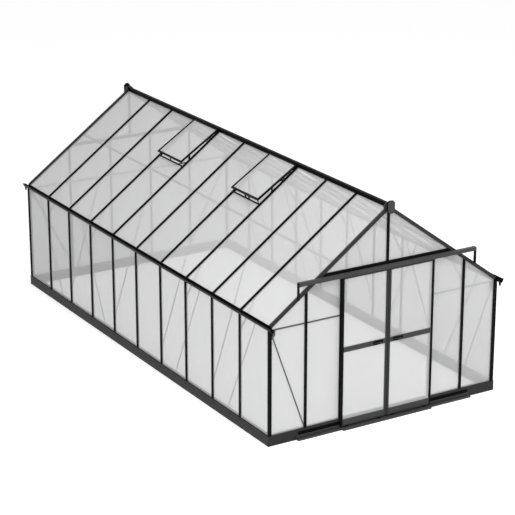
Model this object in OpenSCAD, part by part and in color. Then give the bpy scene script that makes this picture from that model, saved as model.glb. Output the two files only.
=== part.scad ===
// Polycarbonate greenhouse: a bolted bar frame on a steel base, twin-wall sheets between the bars,
// a gutter along each eave, four ajar roof vents and two sliding door leaves on a top track.
// X runs across the door gable, Y runs from the door gable (-Y) to the back gable, Z is up.

/* [House] */
// Distance between neighbouring side-wall posts, centre to centre
bay = 610; // [560:5:660]
// Number of bays along each side wall
side_bays = 10; // [8:1:14]
// Number of bays across the back gable
gable_bays = 5; // [5:2:7]
// Height of the roof sheet's middle plane over the side-wall line
eave_h = 1381; // [1250:5:1700]
// Height of the roof sheet's middle plane at the ridge line
ridge_h = 2488; // [2300:5:2800]

/* [Base] */
// Height of the base rails
base_h = 118; // [80:1:160]
// How far the base rails stand out from the posts' outer faces
base_ledge = 4; // [2:1:30]
// Thickness of the base rails
base_t = 56; // [45:1:70]

/* [Bars] */
// Width of a post or roof bar
bar_w = 28; // [22:1:40]
// How far a bar stands out from the sheet's middle plane
bar_out = 12; // [8:1:20]
// How far a bar reaches in from the sheet's middle plane
bar_in = 18; // [12:1:30]
// Depth of the corner posts and gable rafters, along the house
corner_d = 30; // [28:1:50]
// Height of a gable rafter's face, square to the slope
rafter_h = 40; // [36:1:50]
// How far a gable rafter stands out from the sheets' middle plane
rafter_out = 20; // [16:1:26]
// Thickness of the twin-wall sheets
sheet_t = 6; // [4:1:10]
// How far the sheets' middle planes lie inside the wall and roof lines
sheet_in = 6; // [3:1:12]

/* [Eaves and gutters] */
// Height of the posts' tops below the roof line
eave_drop = 27; // [24:1:60]
// How far the gutters' backs lie inside the wall lines
gutter_inset = 5; // [2:1:8]
// Distance from the wall line up the slope to the ends of the roof bars
eave_lap = 22; // [15:1:35]
// Width of the gutter's open top
gutter_w = 45; // [40:1:90]
// Width of the gutter's floor
gutter_floor_w = 26; // [24:1:36]
// Wall thickness of the gutter
gutter_t = 3; // [2:0.5:4]
// Height of the gutter's rim above its floor
gutter_d = 44; // [40:1:70]
// How far each gutter runs past the gable frames
gutter_over = 78; // [20:1:90]
// Height of the gutter's rim above its back
gutter_back_drop = 10; // [0:1:15]
// Diameter of the outlet stubs under the gutter ends
outlet_d = 24; // [16:1:30]
// Length of the outlet stubs
outlet_l = 40; // [15:1:60]

/* [Ridge] */
// Width of the ridge beam's cap
ridge_w = 44; // [42:1:60]
// Height of the ridge beam's top over the ridge line
ridge_top = 45; // [44:1:60]
// Thickness of the ridge beam's cap
ridge_cap_t = 14; // [6:1:16]
// How far the ridge beam's web is set in from a bar's sides
ridge_groove = 6; // [3:1:8]
// Width of the ridge end plates
ridge_end_w = 90; // [80:1:130]
// Height of the ridge end plates
ridge_end_h = 152; // [110:1:200]
// Height of the ridge end plates' tops over the ridge beam
ridge_end_rise = 44; // [20:1:60]
// Size of the ridge end plates' cut corners
ridge_end_cut = 28; // [15:1:40]
// Thickness of the ridge end plates
ridge_end_t = 9; // [5:1:16]
// Length of the necks between the end plates and the ridge beam
ridge_neck_l = 36; // [10:1:45]
// How far the necks are set in from the end plates' edges
ridge_neck_inset = 12; // [6:1:18]
// Width of the collars astride the ridge beam behind the end plates
ridge_collar_w = 124; // [106:1:140]
// Thickness of the collars
ridge_collar_t = 22; // [8:1:24]
// Height of the collars' tops over the ridge beam's top
ridge_collar_rise = 8; // [4:1:20]
// Distance from the gable rafters' outer faces back to the collars
ridge_collar_at = 6; // [0:1:6]

/* [Roof] */
// Distance up the slope from the wall line to the purlins' middle
purlin_at = 1020; // [800:5:1150]
// Width and height of the purlins
purlin_w = 14; // [10:1:30]

/* [Vents] */
// Bays, counted from the door gable, that carry a vent on each slope
vent_bays = [4, 7]; // [1:1:14]
// Distance along the slope from the vents' hinge line to their lower edge
vent_l = 645; // [450:5:700]
// Width of the vents' frame bars
vent_bar = 24; // [18:1:36]
// Thickness of the vents' frames
vent_t = 18; // [12:1:26]
// How far the vents lap over the roof bars beside them
vent_lap = 10; // [4:1:12]
// Width of the fixed rails under the vents' lower edges
sill_w = 14; // [13:1:24]
// Angle at which the vents stand ajar
vent_angle = 3.5; // [2:0.5:15]
// Gap between a vent and the roof bars under it
vent_gap = 2; // [2:1:8]
// Width of the vents' stay arms
stay_w = 12; // [8:1:20]

/* [Gables] */
// Distance from the middle to the outer gable posts on the door side
gable_post_x = 1057; // [950:1:1200]
// Height of the door header's middle over the top track's underside
header_rise = 53; // [46:1:90]
// Height of the door header
header_h = 40; // [30:1:60]
// Height of the eave-level ties' middle
tie_z = 1348; // [1200:1:1450]
// Height of the ties
tie_h = 16; // [12:1:30]
// Thickness of the ties and braces
tie_t = 8; // [5:1:14]
// Width of the diagonal braces
brace_w = 11; // [8:1:24]
// Gap between the ties and the gable braces' upper ends
brace_drop = 12; // [5:1:40]
// Width of the gusset plates in the gables' upper corners
gusset_w = 50; // [30:1:70]
// Height of the gusset plates
gusset_h = 110; // [80:1:140]
// Side-wall posts, counted from the door gable, that a diagonal brace crosses
braced_posts = [1, 3, 7, 9]; // [1:1:13]

/* [Knee braces] */
// Height of the long knee braces' feet on the posts
long_foot_z = 340; // [200:5:600]
// Distance up the slope to the long knee braces' heads
long_head_s = 510; // [350:5:700]
// Height of the short knee braces' feet on the posts
short_foot_z = 1150; // [950:5:1250]
// Distance up the slope to the short knee braces' heads
short_head_s = 230; // [120:5:320]
// Width of the knee braces
knee_w = 22; // [14:1:32]

/* [Doors] */
// Width of one door leaf
leaf_w = 614; // [560:1:660]
// Gap between the two closed leaves
leaf_gap = 6; // [5:1:12]
// Thickness of a leaf
leaf_t = 20; // [16:1:34]
// Clearance between the leaves and the base rail behind them
leaf_clear = 8; // [5:1:15]
// Height of the leaves' lower edge above the ground
leaf_z0 = 40; // [34:1:60]
// Width of a leaf's stiles
stile_w = 29; // [24:1:45]
// Height of a leaf's top rail
top_rail_h = 16; // [12:1:60]
// Height of a leaf's middle rail
mid_rail_h = 58; // [36:1:70]
// Height of the middle rail's centre above the ground
mid_rail_z = 948; // [850:1:1050]
// Height of a leaf's bottom rail
bottom_rail_h = 77; // [50:1:100]
// Length of a door handle's back plate
handle_l = 130; // [90:1:160]
// Height of a door handle's back plate
handle_h = 44; // [30:1:56]
// Thickness of a door handle's back plate
handle_plate_t = 3; // [2:0.5:5]
// Height of a door handle's grip
grip_h = 22; // [14:1:30]
// Distance from the back plate's ends to the grip's ends
grip_inset = 12; // [6:1:20]
// Thickness of a door handle's grip and legs
handle_t = 9; // [8:1:20]
// Finger room behind a door handle
handle_gap = 18; // [15:1:45]
// Height of the handles' centres above the middle rails' centres
handle_rise = 0; // [0:1:6]
// Distance from the meeting edge to a handle's near end
handle_inset = 66; // [45:1:120]
// How far a leaf slides open
leaf_travel = 550; // [450:1:560]

/* [Door tracks] */
// Length of the top and bottom tracks
track_l = 2356; // [2300:1:2520]
// Height of the top track's lower edge
track_z = 1797; // [1760:1:1860]
// Height of the top track
track_h = 42; // [36:1:60]
// Width of the slot under the top track
slot_w = 14; // [12:1:18]
// How far the tracks stand out in front of the leaves
track_lip = 15; // [8:1:25]
// Wall thickness of the tracks
track_t = 3; // [2:0.5:5]
// How far the track's end brackets lap over the gable rafters
bracket_lap = 14; // [8:1:36]
// Thickness of the track's end brackets
bracket_t = 4; // [3:1:8]
// Diameter of the door rollers
roller_d = 22; // [18:1:26]
// Width of a roller's tread
roller_w = 10; // [8:1:14]
// Thickness of the hanger plates between the rollers
hanger_t = 6; // [4:1:8]
// Height of the hanger plates above the rollers' axles
hanger_over = 8; // [4:1:12]
// Width of the hanger plates
hanger_w = 40; // [30:1:60]
// Distance from a leaf's edges to the middles of its hangers and guide fins
hanger_inset = 90; // [60:5:160]
// Height of the bottom track's front lip
low_track_h = 24; // [18:1:44]
// Height of the bottom track's back wall
low_wall_h = 54; // [30:1:70]
// Width of the bottom track's groove in front of the leaves' middle, doubled
groove_w = 16; // [14:1:20]
// Depth of the bottom track's groove
groove_d = 14; // [10:1:28]
// Clearance under the guide fins
fin_gap = 6; // [5:1:10]
// Width of the sill in front of the doorway
sill_d = 30; // [20:1:60]
// Height of the sill
sill_h = 24; // [16:1:40]

/* [Hidden] */

// A hair of room under a roller, and between parts that meet on a slope
seat_gap = 0.3;
fit_gap = 0.1;
house_l = bay * side_bays;
house_w = bay * gable_bays;
half_w = house_w / 2;
pitch = atan2(ridge_h - eave_h, half_w);
post_top = eave_h - eave_drop;
// Outer faces of the frame
wall_out = half_w + bar_out;
wall_in = half_w - bar_in;
frame_d = corner_d / 2;
base_out_x = wall_out + base_ledge;
sheet_x = half_w - sheet_in;
// Width of the gable bars, front to back
gable_bar_d = bar_out + bar_in;
// The leaves' place in front of the door gable, from the gable's middle plane
leaf_back = frame_d + base_ledge + leaf_clear;
leaf_front = leaf_back + leaf_t;
leaf_mid = leaf_back + leaf_t / 2;
track_front = leaf_front + track_lip;
leaf_top = track_z - leaf_clear;
handle_reach = handle_gap + handle_t;
front_reach = max(leaf_front + handle_reach, track_front + sill_d);
back_reach = frame_d + gutter_over;
front_y = -(house_l + back_reach - front_reach) / 2;
back_y = front_y + house_l;
// Middle planes of the gable sheets
front_sheet_y = front_y + sheet_in;
back_sheet_y = back_y - sheet_in;
rafter_low = rafter_out - rafter_h;
// Level of what stands under the rafters' lower faces
rafter_seat = rafter_low - fit_gap;
gutter_back_x = half_w - gutter_inset;
gutter_back_h = gutter_d - gutter_back_drop;
gutter_y0 = front_y - frame_d - gutter_over;
gutter_y1 = back_y + frame_d + gutter_over;
doorway_x = leaf_w + leaf_gap / 2 - stile_w / 2;
header_z = track_z + header_rise;
header_low = header_z - header_h / 2;
header_top = header_z + header_h / 2;
// Edges of the left leaf
leaf_x0 = -leaf_gap / 2 - leaf_w;
leaf_x1 = -leaf_gap / 2;
leaf_y0 = front_y - leaf_front;
leaf_y1 = front_y - leaf_back;
mid_rail_z0 = mid_rail_z - mid_rail_h / 2;
mid_rail_z1 = mid_rail_z + mid_rail_h / 2;
steel_tone = [0.16, 0.16, 0.17];
bar_tone = [0.1, 0.1, 0.11];
sheet_tone = [0.86, 0.88, 0.89, 0.75];

// Half the width of the ridge beam's web
ridge_web = bar_w / 2 - ridge_groove;
// Places along the slope of the vents' hinge line and lower edge, and of the fixed rail under it
hinge_n = bar_out + vent_gap;
hinge_s = (half_w - ridge_web) / cos(pitch) + hinge_n * tan(pitch);
sill_top_s = hinge_s - vent_l;
sill_low_s = sill_top_s - sill_w;

// Distance of the roof's plane n from the roof line, measured at x, as a height
function roof_z(x, n) = eave_h + (half_w - abs(x)) * tan(pitch) + n / cos(pitch);
// A point of the left slope, s up the slope from the wall line and n out from the sheets' middle
function slope_pt(s, n) = [
    -half_w + s * cos(pitch) - n * sin(pitch),
    eave_h + s * sin(pitch) + n * cos(pitch)
];
// How far across the gable the rafter's lower face lies at height z
function rafter_x(z) = half_w - (z - eave_h - rafter_seat / cos(pitch)) / tan(pitch);
// Lowest and highest point of the ridge beam, the lowest level with the rafters' lower faces beside its web
ridge_low = roof_z(ridge_web, rafter_low);
ridge_z = ridge_h + ridge_top;
// Height at which the sides of the king posts meet the rafters' lower faces
king_top = roof_z(bar_w / 2, rafter_seat);
// How far in from the wall line the corner posts and the eave beams reach
corner_in = -slope_pt(eave_lap, -bar_in).x;

// Distance from the middle to bar i of the back gable, counted from the corners
function back_post_x(i) = half_w - bay * i;
// Place of post i of a side wall along the house
function post_y(i) = front_y + bay * i;

// Extrudes an X-Z outline along the house from y0 to y1
module along_y(y0, y1) {
    translate([0, y1, 0])
        rotate([90, 0, 0])
            linear_extrude(y1 - y0)
                children();
}

// Extrudes a Y-Z outline across the house from x0 to x1
module along_x(x0, x1) {
    translate([x0, 0, 0])
        rotate([90, 0, 90])
            linear_extrude(x1 - x0)
                children();
}

module block(low, high) {
    translate(low)
        cube(high - low);
}

module each_side() {
    children();
    mirror([1, 0, 0])
        children();
}

// A strip of the left slope from the eave beam to the ridge beam, between planes n0 and n1
module slope_strip(n0, n1, y0, y1) {
    s0 = eave_lap + fit_gap;
    along_y(y0, y1)
        polygon([
            slope_pt(s0, n0),
            [-ridge_web, roof_z(ridge_web, n0)],
            [-ridge_web, roof_z(ridge_web, n1)],
            slope_pt(s0, n1)
        ]);
}

// ---- base ----

module base_sides() {
    color(steel_tone)
        each_side()
            block(
                [-base_out_x, front_y - frame_d - base_ledge + base_t, 0],
                [-base_out_x + base_t, back_y + frame_d + base_ledge - base_t, base_h]
            );
}

module base_front() {
    y0 = front_y - frame_d - base_ledge;
    color(steel_tone)
        block([-base_out_x, y0, 0], [base_out_x, y0 + base_t, base_h]);
}

module base_back() {
    y1 = back_y + frame_d + base_ledge;
    color(steel_tone)
        block([-base_out_x, y1 - base_t, 0], [base_out_x, y1, base_h]);
}

// ---- walls ----

module posts_left() {
    color(bar_tone)
        for (i = [1 : side_bays - 1])
            block(
                [-wall_out, post_y(i) - bar_w / 2, base_h],
                [-wall_in, post_y(i) + bar_w / 2, post_top]
            );
}

module posts_right() {
    mirror([1, 0, 0])
        posts_left();
}

module corner_posts() {
    color(bar_tone)
        each_side()
            for (y = [front_y, back_y])
                block([-wall_out, y - frame_d, base_h], [-corner_in, y + frame_d, post_top]);
}

module wall_sheets_left() {
    color(sheet_tone)
        for (i = [0 : side_bays - 1]) {
            y0 = post_y(i) + (i == 0 ? frame_d : bar_w / 2);
            y1 = post_y(i + 1) - (i == side_bays - 1 ? frame_d : bar_w / 2);
            block([-sheet_x - sheet_t / 2, y0, base_h], [-sheet_x + sheet_t / 2, y1, post_top]);
        }
}

module wall_sheets_right() {
    mirror([1, 0, 0])
        wall_sheets_left();
}

// ---- eaves ----

module eave_beams() {
    inner = slope_pt(eave_lap, -bar_in);
    color(bar_tone)
        each_side()
            along_y(front_y - frame_d, back_y + frame_d)
                polygon([
                    [-gutter_back_x, post_top],
                    [inner.x, post_top],
                    inner,
                    slope_pt(eave_lap, bar_out),
                    [-gutter_back_x, roof_z(gutter_back_x, bar_out)]
                ]);
}

// The gutter's outer outline, from its back's foot round to its rim
function gutter_outline() = [
    [-gutter_back_x, post_top + gutter_back_h],
    [-gutter_back_x, post_top],
    [-gutter_back_x - gutter_floor_w, post_top],
    [-gutter_back_x - gutter_w, post_top + gutter_d]
];

module gutter_left() {
    inside = [
        [-gutter_back_x - gutter_w + gutter_t, post_top + gutter_d],
        [-gutter_back_x - gutter_floor_w + gutter_t, post_top + gutter_t],
        [-gutter_back_x - gutter_t, post_top + gutter_t],
        [-gutter_back_x - gutter_t, post_top + gutter_back_h]
    ];
    color(bar_tone) {
        along_y(gutter_y0 + gutter_t, gutter_y1 - gutter_t)
            polygon(concat(gutter_outline(), inside));
        for (y = [gutter_y0, gutter_y1 - gutter_t])
            along_y(y, y + gutter_t)
                polygon(gutter_outline());
        for (y = [gutter_y0 + outlet_d, gutter_y1 - outlet_d])
            translate([-gutter_back_x - gutter_floor_w / 2, y, post_top - outlet_l])
                cylinder(h = outlet_l + gutter_t / 2, d = outlet_d, $fn = 32);
    }
}

module gutter_right() {
    mirror([1, 0, 0])
        gutter_left();
}

// ---- roof frame ----

// T-shaped beam: the roof bars and sheets meet its web, under its cap
module ridge_beam() {
    x = ridge_w / 2;
    cap_z = ridge_z - ridge_cap_t;
    color(bar_tone)
        along_y(front_y - frame_d, back_y + frame_d)
            polygon([
                [-ridge_web, ridge_low], [ridge_web, ridge_low], [ridge_web, cap_z], [x, cap_z],
                [x, ridge_z], [-x, ridge_z], [-x, cap_z], [-ridge_web, cap_z]
            ]);
}

// An eight-sided outline round the ridge beam's end, set in all round by inset
function ridge_plate(inset) =
    let (
        x = ridge_end_w / 2 - inset,
        z1 = ridge_z + ridge_end_rise - inset,
        z0 = ridge_z + ridge_end_rise - ridge_end_h + inset,
        c = ridge_end_cut
    )
    [[-x + c, z0], [x - c, z0], [x, z0 + c], [x, z1 - c], [x - c, z1], [-x + c, z1], [-x, z1 - c], [-x, z0 + c]];

// Outline of a collar: on the rafters' upper faces, round the ridge beam's cap
function ridge_collar() =
    let (
        x = ridge_w / 2,
        w = ridge_collar_w / 2,
        z1 = ridge_z + ridge_collar_rise,
        c = ridge_end_cut
    )
    [
        [-x, roof_z(x, rafter_out)], [-w, roof_z(w, rafter_out)], [-w, z1 - c], [-w + c, z1], [w - c, z1],
        [w, z1 - c], [w, roof_z(w, rafter_out)], [x, roof_z(x, rafter_out)], [x, ridge_z], [-x, ridge_z]
    ];

// End plate and neck in front of the door gable, and the collar over its rafters
module ridge_end() {
    beam_y = front_y - frame_d;
    plate_y = beam_y - ridge_neck_l;
    collar_y = beam_y + ridge_collar_at;
    along_y(plate_y - ridge_end_t, plate_y)
        polygon(ridge_plate(0));
    along_y(plate_y, beam_y)
        polygon(ridge_plate(ridge_neck_inset));
    along_y(collar_y, collar_y + ridge_collar_t)
        polygon(ridge_collar());
}

// The same at both ends of the ridge beam
module ridge_ends() {
    color(bar_tone) {
        ridge_end();
        translate([0, front_y + back_y, 0])
            mirror([0, 1, 0])
                ridge_end();
    }
}

module roof_bars_left() {
    color(bar_tone)
        for (i = [1 : side_bays - 1])
            slope_strip(-bar_in, bar_out, post_y(i) - bar_w / 2, post_y(i) + bar_w / 2);
}

module roof_bars_right() {
    mirror([1, 0, 0])
        roof_bars_left();
}

module gable_rafters() {
    color(bar_tone)
        each_side()
            for (y = [front_y, back_y])
                slope_strip(rafter_low, rafter_out, y - frame_d, y + frame_d);
}

// Purlins under the roof bars, between the gable rafters
module purlins() {
    color(bar_tone)
        each_side()
            along_y(front_y + frame_d, back_y - frame_d)
                polygon([
                    slope_pt(purlin_at - purlin_w / 2, -bar_in - purlin_w),
                    slope_pt(purlin_at + purlin_w / 2, -bar_in - purlin_w),
                    slope_pt(purlin_at + purlin_w / 2, -bar_in),
                    slope_pt(purlin_at - purlin_w / 2, -bar_in)
                ]);
}

// ---- roof sheets and vents ----

function is_vent_bay(i) = len(search(i, vent_bays)) > 0;

module roof_sheets_left() {
    s0 = eave_lap + fit_gap;
    sheet_low = -sheet_in - sheet_t / 2;
    sheet_high = -sheet_in + sheet_t / 2;
    color(sheet_tone)
        for (i = [0 : side_bays - 1]) {
            y0 = post_y(i) + (i == 0 ? frame_d : bar_w / 2);
            y1 = post_y(i + 1) - (i == side_bays - 1 ? frame_d : bar_w / 2);
            if (is_vent_bay(i + 1))
                along_y(y0, y1)
                    polygon([
                        slope_pt(s0, sheet_low), slope_pt(sill_low_s - fit_gap, sheet_low),
                        slope_pt(sill_low_s - fit_gap, sheet_high), slope_pt(s0, sheet_high)
                    ]);
            else
                slope_strip(sheet_low, sheet_high, y0, y1);
        }
}

module roof_sheets_right() {
    mirror([1, 0, 0])
        roof_sheets_left();
}

// Fixed rails across the vent bays, under the vents' lower edges
module vent_sills() {
    color(bar_tone)
        each_side()
            for (i = vent_bays)
                along_y(post_y(i - 1) + bar_w / 2, post_y(i) - bar_w / 2)
                    polygon([
                        slope_pt(sill_low_s, -bar_in), slope_pt(sill_top_s, -bar_in),
                        slope_pt(sill_top_s, bar_out), slope_pt(sill_low_s, bar_out)
                    ]);
}

// A point of an ajar vent on the left slope: u down from the hinge line, v out from the vent's underside
function vent_pt(u, v) = slope_pt(
    hinge_s - u * cos(vent_angle) + v * sin(vent_angle),
    hinge_n + u * sin(vent_angle) + v * cos(vent_angle)
);

// A strip of an ajar vent from u0 to u1 down its length and v0 to v1 through its thickness
module vent_strip(u0, u1, v0, v1, y0, y1) {
    along_y(y0, y1)
        polygon([vent_pt(u0, v0), vent_pt(u1, v0), vent_pt(u1, v1), vent_pt(u0, v1)]);
}

module vent_stiles() {
    color(bar_tone)
        each_side()
            for (i = vent_bays) {
                y0 = post_y(i - 1) + bar_w / 2 - vent_lap;
                y1 = post_y(i) - bar_w / 2 + vent_lap;
                vent_strip(vent_bar, vent_l - vent_bar, 0, vent_t, y0, y0 + vent_bar);
                vent_strip(vent_bar, vent_l - vent_bar, 0, vent_t, y1 - vent_bar, y1);
            }
}

module vent_rails() {
    color(bar_tone)
        each_side()
            for (i = vent_bays) {
                y0 = post_y(i - 1) + bar_w / 2 - vent_lap;
                y1 = post_y(i) - bar_w / 2 + vent_lap;
                vent_strip(0, vent_bar, 0, vent_t, y0, y1);
                vent_strip(vent_l - vent_bar, vent_l, 0, vent_t, y0, y1);
            }
}

module vent_sheets() {
    color(sheet_tone)
        each_side()
            for (i = vent_bays) {
                y0 = post_y(i - 1) + bar_w / 2 - vent_lap + vent_bar;
                y1 = post_y(i) - bar_w / 2 + vent_lap - vent_bar;
                vent_strip(vent_bar, vent_l - vent_bar, vent_t / 2 - sheet_t / 2, vent_t / 2 + sheet_t / 2, y0, y1);
            }
}

// Stay arms that hold the vents ajar, from the fixed rails to the vents' lower rails
module vent_stays() {
    color(bar_tone)
        each_side()
            for (i = vent_bays) {
                y = (post_y(i - 1) + post_y(i)) / 2;
                along_y(y - stay_w / 2, y + stay_w / 2)
                    polygon([
                        slope_pt(sill_top_s - stay_w, bar_out), slope_pt(sill_top_s, bar_out),
                        vent_pt(vent_l - vent_bar, 0), vent_pt(vent_l - vent_bar + stay_w, 0)
                    ]);
            }
}

// ---- gables ----

// Upright gable bars at the places xs, each up to the rafters
module gable_bars(xs, y0, y1, z0) {
    color(bar_tone)
        for (x = xs) {
            a = x - bar_w / 2;
            b = x + bar_w / 2;
            along_y(y0, y1)
                polygon([[a, z0], [b, z0], [b, roof_z(b, rafter_seat)], [a, roof_z(a, rafter_seat)]]);
        }
}

// Post from the door header or the transom up to the rafters and the ridge beam
module king_post(y0, y1) {
    a = bar_w / 2;
    along_y(y0, y1)
        polygon([
            [-a, header_top], [a, header_top], [a, king_top],
            [ridge_web, ridge_low], [-ridge_web, ridge_low], [-a, king_top]
        ]);
}

module gable_posts_front() {
    y0 = front_y - frame_d;
    y1 = y0 + gable_bar_d;
    gable_bars([-gable_post_x, gable_post_x], y0, y1, base_h);
    color(bar_tone) {
        for (x = [-doorway_x, doorway_x])
            block([x - bar_w / 2, y0, base_h], [x + bar_w / 2, y1, header_low]);
        king_post(y0, y1);
    }
}

// Bars of the back gable: the middle pair stops under the transom, and a king post stands on it
module gable_posts_back() {
    y1 = back_y + frame_d;
    y0 = y1 - gable_bar_d;
    gable_bars([-back_post_x(1), back_post_x(1)], y0, y1, base_h);
    color(bar_tone) {
        for (x = [-back_post_x(2), back_post_x(2)])
            block([x - bar_w / 2, y0, base_h], [x + bar_w / 2, y1, header_low]);
        king_post(y0, y1);
    }
}

// The door header and the back gable's transom, from rafter to rafter
module door_header() {
    color(bar_tone) {
        along_y(front_y - frame_d, front_y - frame_d + gable_bar_d)
            polygon(header_outline());
        along_y(back_y + frame_d - gable_bar_d, back_y + frame_d)
            polygon(header_outline());
    }
}

function header_outline() = [
    [-rafter_x(header_low), header_low], [rafter_x(header_low), header_low],
    [rafter_x(header_top), header_top], [-rafter_x(header_top), header_top]
];

// The sheets over the header, one each side of the king post
module top_gable_sheets(y) {
    a = bar_w / 2;
    each_side()
        along_y(y - sheet_t / 2, y + sheet_t / 2)
            polygon([[-rafter_x(header_top), header_top], [-a, header_top], [-a, king_top]]);
}

// A sheet between x0 and x1 that ends under the rafter, and under the header where that is lower
module side_gable_sheet(x0, x1, y) {
    corner = rafter_x(header_low);
    along_y(y - sheet_t / 2, y + sheet_t / 2)
        polygon(
            x1 > -corner
                ? [[x0, base_h], [x1, base_h], [x1, header_low], [-corner, header_low], [x0, roof_z(x0, rafter_seat)]]
                : [[x0, base_h], [x1, base_h], [x1, roof_z(x1, rafter_seat)], [x0, roof_z(x0, rafter_seat)]]
        );
}

module gable_sheets_front() {
    a = bar_w / 2;
    color(sheet_tone) {
        each_side() {
            side_gable_sheet(-corner_in, -gable_post_x - a, front_sheet_y);
            side_gable_sheet(-gable_post_x + a, -doorway_x - a, front_sheet_y);
        }
        top_gable_sheets(front_sheet_y);
    }
}

module gable_sheets_back() {
    a = bar_w / 2;
    outer_x = back_post_x(1);
    color(sheet_tone) {
        each_side() {
            side_gable_sheet(-corner_in, -outer_x - a, back_sheet_y);
            side_gable_sheet(-outer_x + a, -back_post_x(2) - a, back_sheet_y);
        }
        block(
            [-back_post_x(2) + a, back_sheet_y - sheet_t / 2, base_h],
            [back_post_x(2) - a, back_sheet_y + sheet_t / 2, header_low]
        );
        top_gable_sheets(back_sheet_y);
    }
}

// ---- ties and braces ----

// Level ties at the eaves: outside the sheets left of the doorway, inside them right of it and at the back
module gable_ties() {
    out_y = front_sheet_y - sheet_t / 2;
    in_y = front_y - frame_d + gable_bar_d;
    back_in_y = back_y + frame_d - gable_bar_d;
    z0 = tie_z - tie_h / 2;
    z1 = z0 + tie_h;
    color(bar_tone) {
        block([-corner_in, out_y - tie_t, z0], [-gable_post_x - bar_w / 2, out_y, z1]);
        block([-gable_post_x + bar_w / 2, out_y - tie_t, z0], [-doorway_x - bar_w / 2, out_y, z1]);
        block([doorway_x - bar_w / 2, in_y, z0], [corner_in, in_y + tie_t, z1]);
        block([-corner_in, back_in_y - tie_t, z0], [corner_in, back_in_y, z1]);
    }
}

// Diagonals of the gables' outer bays, from gussets under the ties down to the feet of the next bars
module gable_braces() {
    out_y = front_sheet_y - sheet_t / 2;
    in_y = front_y - frame_d + gable_bar_d;
    back_in_y = back_y + frame_d - gable_bar_d;
    z1 = tie_z - tie_h / 2 - brace_drop;
    color(bar_tone) {
        along_y(out_y - tie_t, out_y)
            gable_brace_outline(-gable_post_x - bar_w / 2, z1);
        mirror([1, 0, 0])
            along_y(in_y, in_y + tie_t)
                gable_brace_outline(-gable_post_x + bar_w / 2, z1);
        each_side()
            along_y(back_in_y - tie_t, back_in_y)
                gable_brace_outline(-back_post_x(1) + bar_w / 2, z1);
    }
}

// A diagonal cut upright at both ends, from the corner post at height z1 down to the base at x1, and its gusset
module gable_brace_outline(x1, z1) {
    cut = brace_w * norm([x1 + corner_in, z1 - base_h]) / (x1 + corner_in);
    top = tie_z - tie_h / 2;
    polygon([[-corner_in, z1], [-corner_in, z1 - cut], [x1, base_h], [x1, base_h + cut]]);
    polygon([
        [-corner_in, top - gusset_h], [-corner_in + gusset_w, top - gusset_h / 2],
        [-corner_in + gusset_w, top], [-corner_in, top]
    ]);
}

// Diagonals of the side walls, each across one post, from the eave beam down to the base
module wall_braces() {
    run = bay;
    cut = brace_w * norm([run, post_top - base_h]) / (post_top - base_h);
    color(bar_tone)
        each_side()
            for (i = [0 : len(braced_posts) - 1]) {
                y = post_y(braced_posts[i]);
                lean = braced_posts[i] < side_bays / 2 ? 1 : -1;
                along_x(-wall_in, -wall_in + tie_t)
                    polygon([
                        [y - lean * run / 2 - cut / 2, post_top], [y - lean * run / 2 + cut / 2, post_top],
                        [y + lean * run / 2 + cut / 2, base_h], [y + lean * run / 2 - cut / 2, base_h]
                    ]);
            }
}

// A knee brace from a post's inner face to the underside of the roof bar over it
module knee_brace(i, foot_z, head_s) {
    foot_h = knee_w * 2;
    along_y(post_y(i) - tie_t / 2, post_y(i) + tie_t / 2)
        polygon([
            [-wall_in, foot_z], slope_pt(head_s + knee_w, -bar_in),
            slope_pt(head_s, -bar_in), [-wall_in, foot_z + foot_h]
        ]);
}

// Long knee braces at every second post, short ones between
module knee_braces() {
    color(bar_tone)
        each_side()
            for (i = [1 : side_bays - 1])
                if (i % 2 == 0)
                    knee_brace(i, long_foot_z, long_head_s);
                else
                    knee_brace(i, short_foot_z, short_head_s);
}

// ---- door tracks ----

// Hollow track with an open slot between two lips, on which the rollers run
module top_track() {
    y0 = front_y - track_front;
    y1 = front_y - frame_d;
    slot = slot_w / 2;
    mid = front_y - leaf_mid;
    color(steel_tone)
        along_x(-track_l / 2, track_l / 2)
            polygon([
                [y0, track_z], [mid - slot, track_z], [mid - slot, track_z + track_t],
                [y0 + track_t, track_z + track_t], [y0 + track_t, track_z + track_h - track_t],
                [y1 - track_t, track_z + track_h - track_t], [y1 - track_t, track_z + track_t],
                [mid + slot, track_z + track_t], [mid + slot, track_z], [y1, track_z],
                [y1, track_z + track_h], [y0, track_z + track_h]
            ]);
}

// Plates on the track's ends, lapped over the fronts of the gable rafters
module track_brackets() {
    x1 = track_l / 2 + bracket_t;
    z0 = min(track_z, roof_z(x1, rafter_out) - bracket_lap);
    z1 = max(track_z + track_h, roof_z(x1, rafter_low) + bracket_lap);
    color(bar_tone)
        each_side()
            block([-x1, front_y - track_front, z0], [-x1 + bracket_t, front_y - frame_d, z1]);
}

// Track on the ground in front of the base: a front lip, a groove and a thin back wall
module bottom_track() {
    y0 = front_y - track_front;
    y1 = front_y - frame_d - base_ledge;
    groove_y0 = front_y - leaf_mid - groove_w / 2;
    groove_y1 = y1 - track_t;
    groove_z = low_track_h - groove_d;
    color(steel_tone)
        along_x(-track_l / 2, track_l / 2)
            polygon([
                [y0, 0], [y1, 0], [y1, low_wall_h], [groove_y1, low_wall_h],
                [groove_y1, groove_z], [groove_y0, groove_z],
                [groove_y0, low_track_h], [y0, low_track_h]
            ]);
}

module door_sill() {
    y1 = front_y - track_front;
    color(steel_tone)
        block([-doorway_x, y1 - sill_d, 0], [doorway_x, y1, sill_h]);
}

// ---- door leaves ----

module leaf_left_stiles() {
    color(bar_tone)
        for (x = [leaf_x0, leaf_x1 - stile_w])
            block([x, leaf_y0, leaf_z0], [x + stile_w, leaf_y1, leaf_top]);
}

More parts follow.
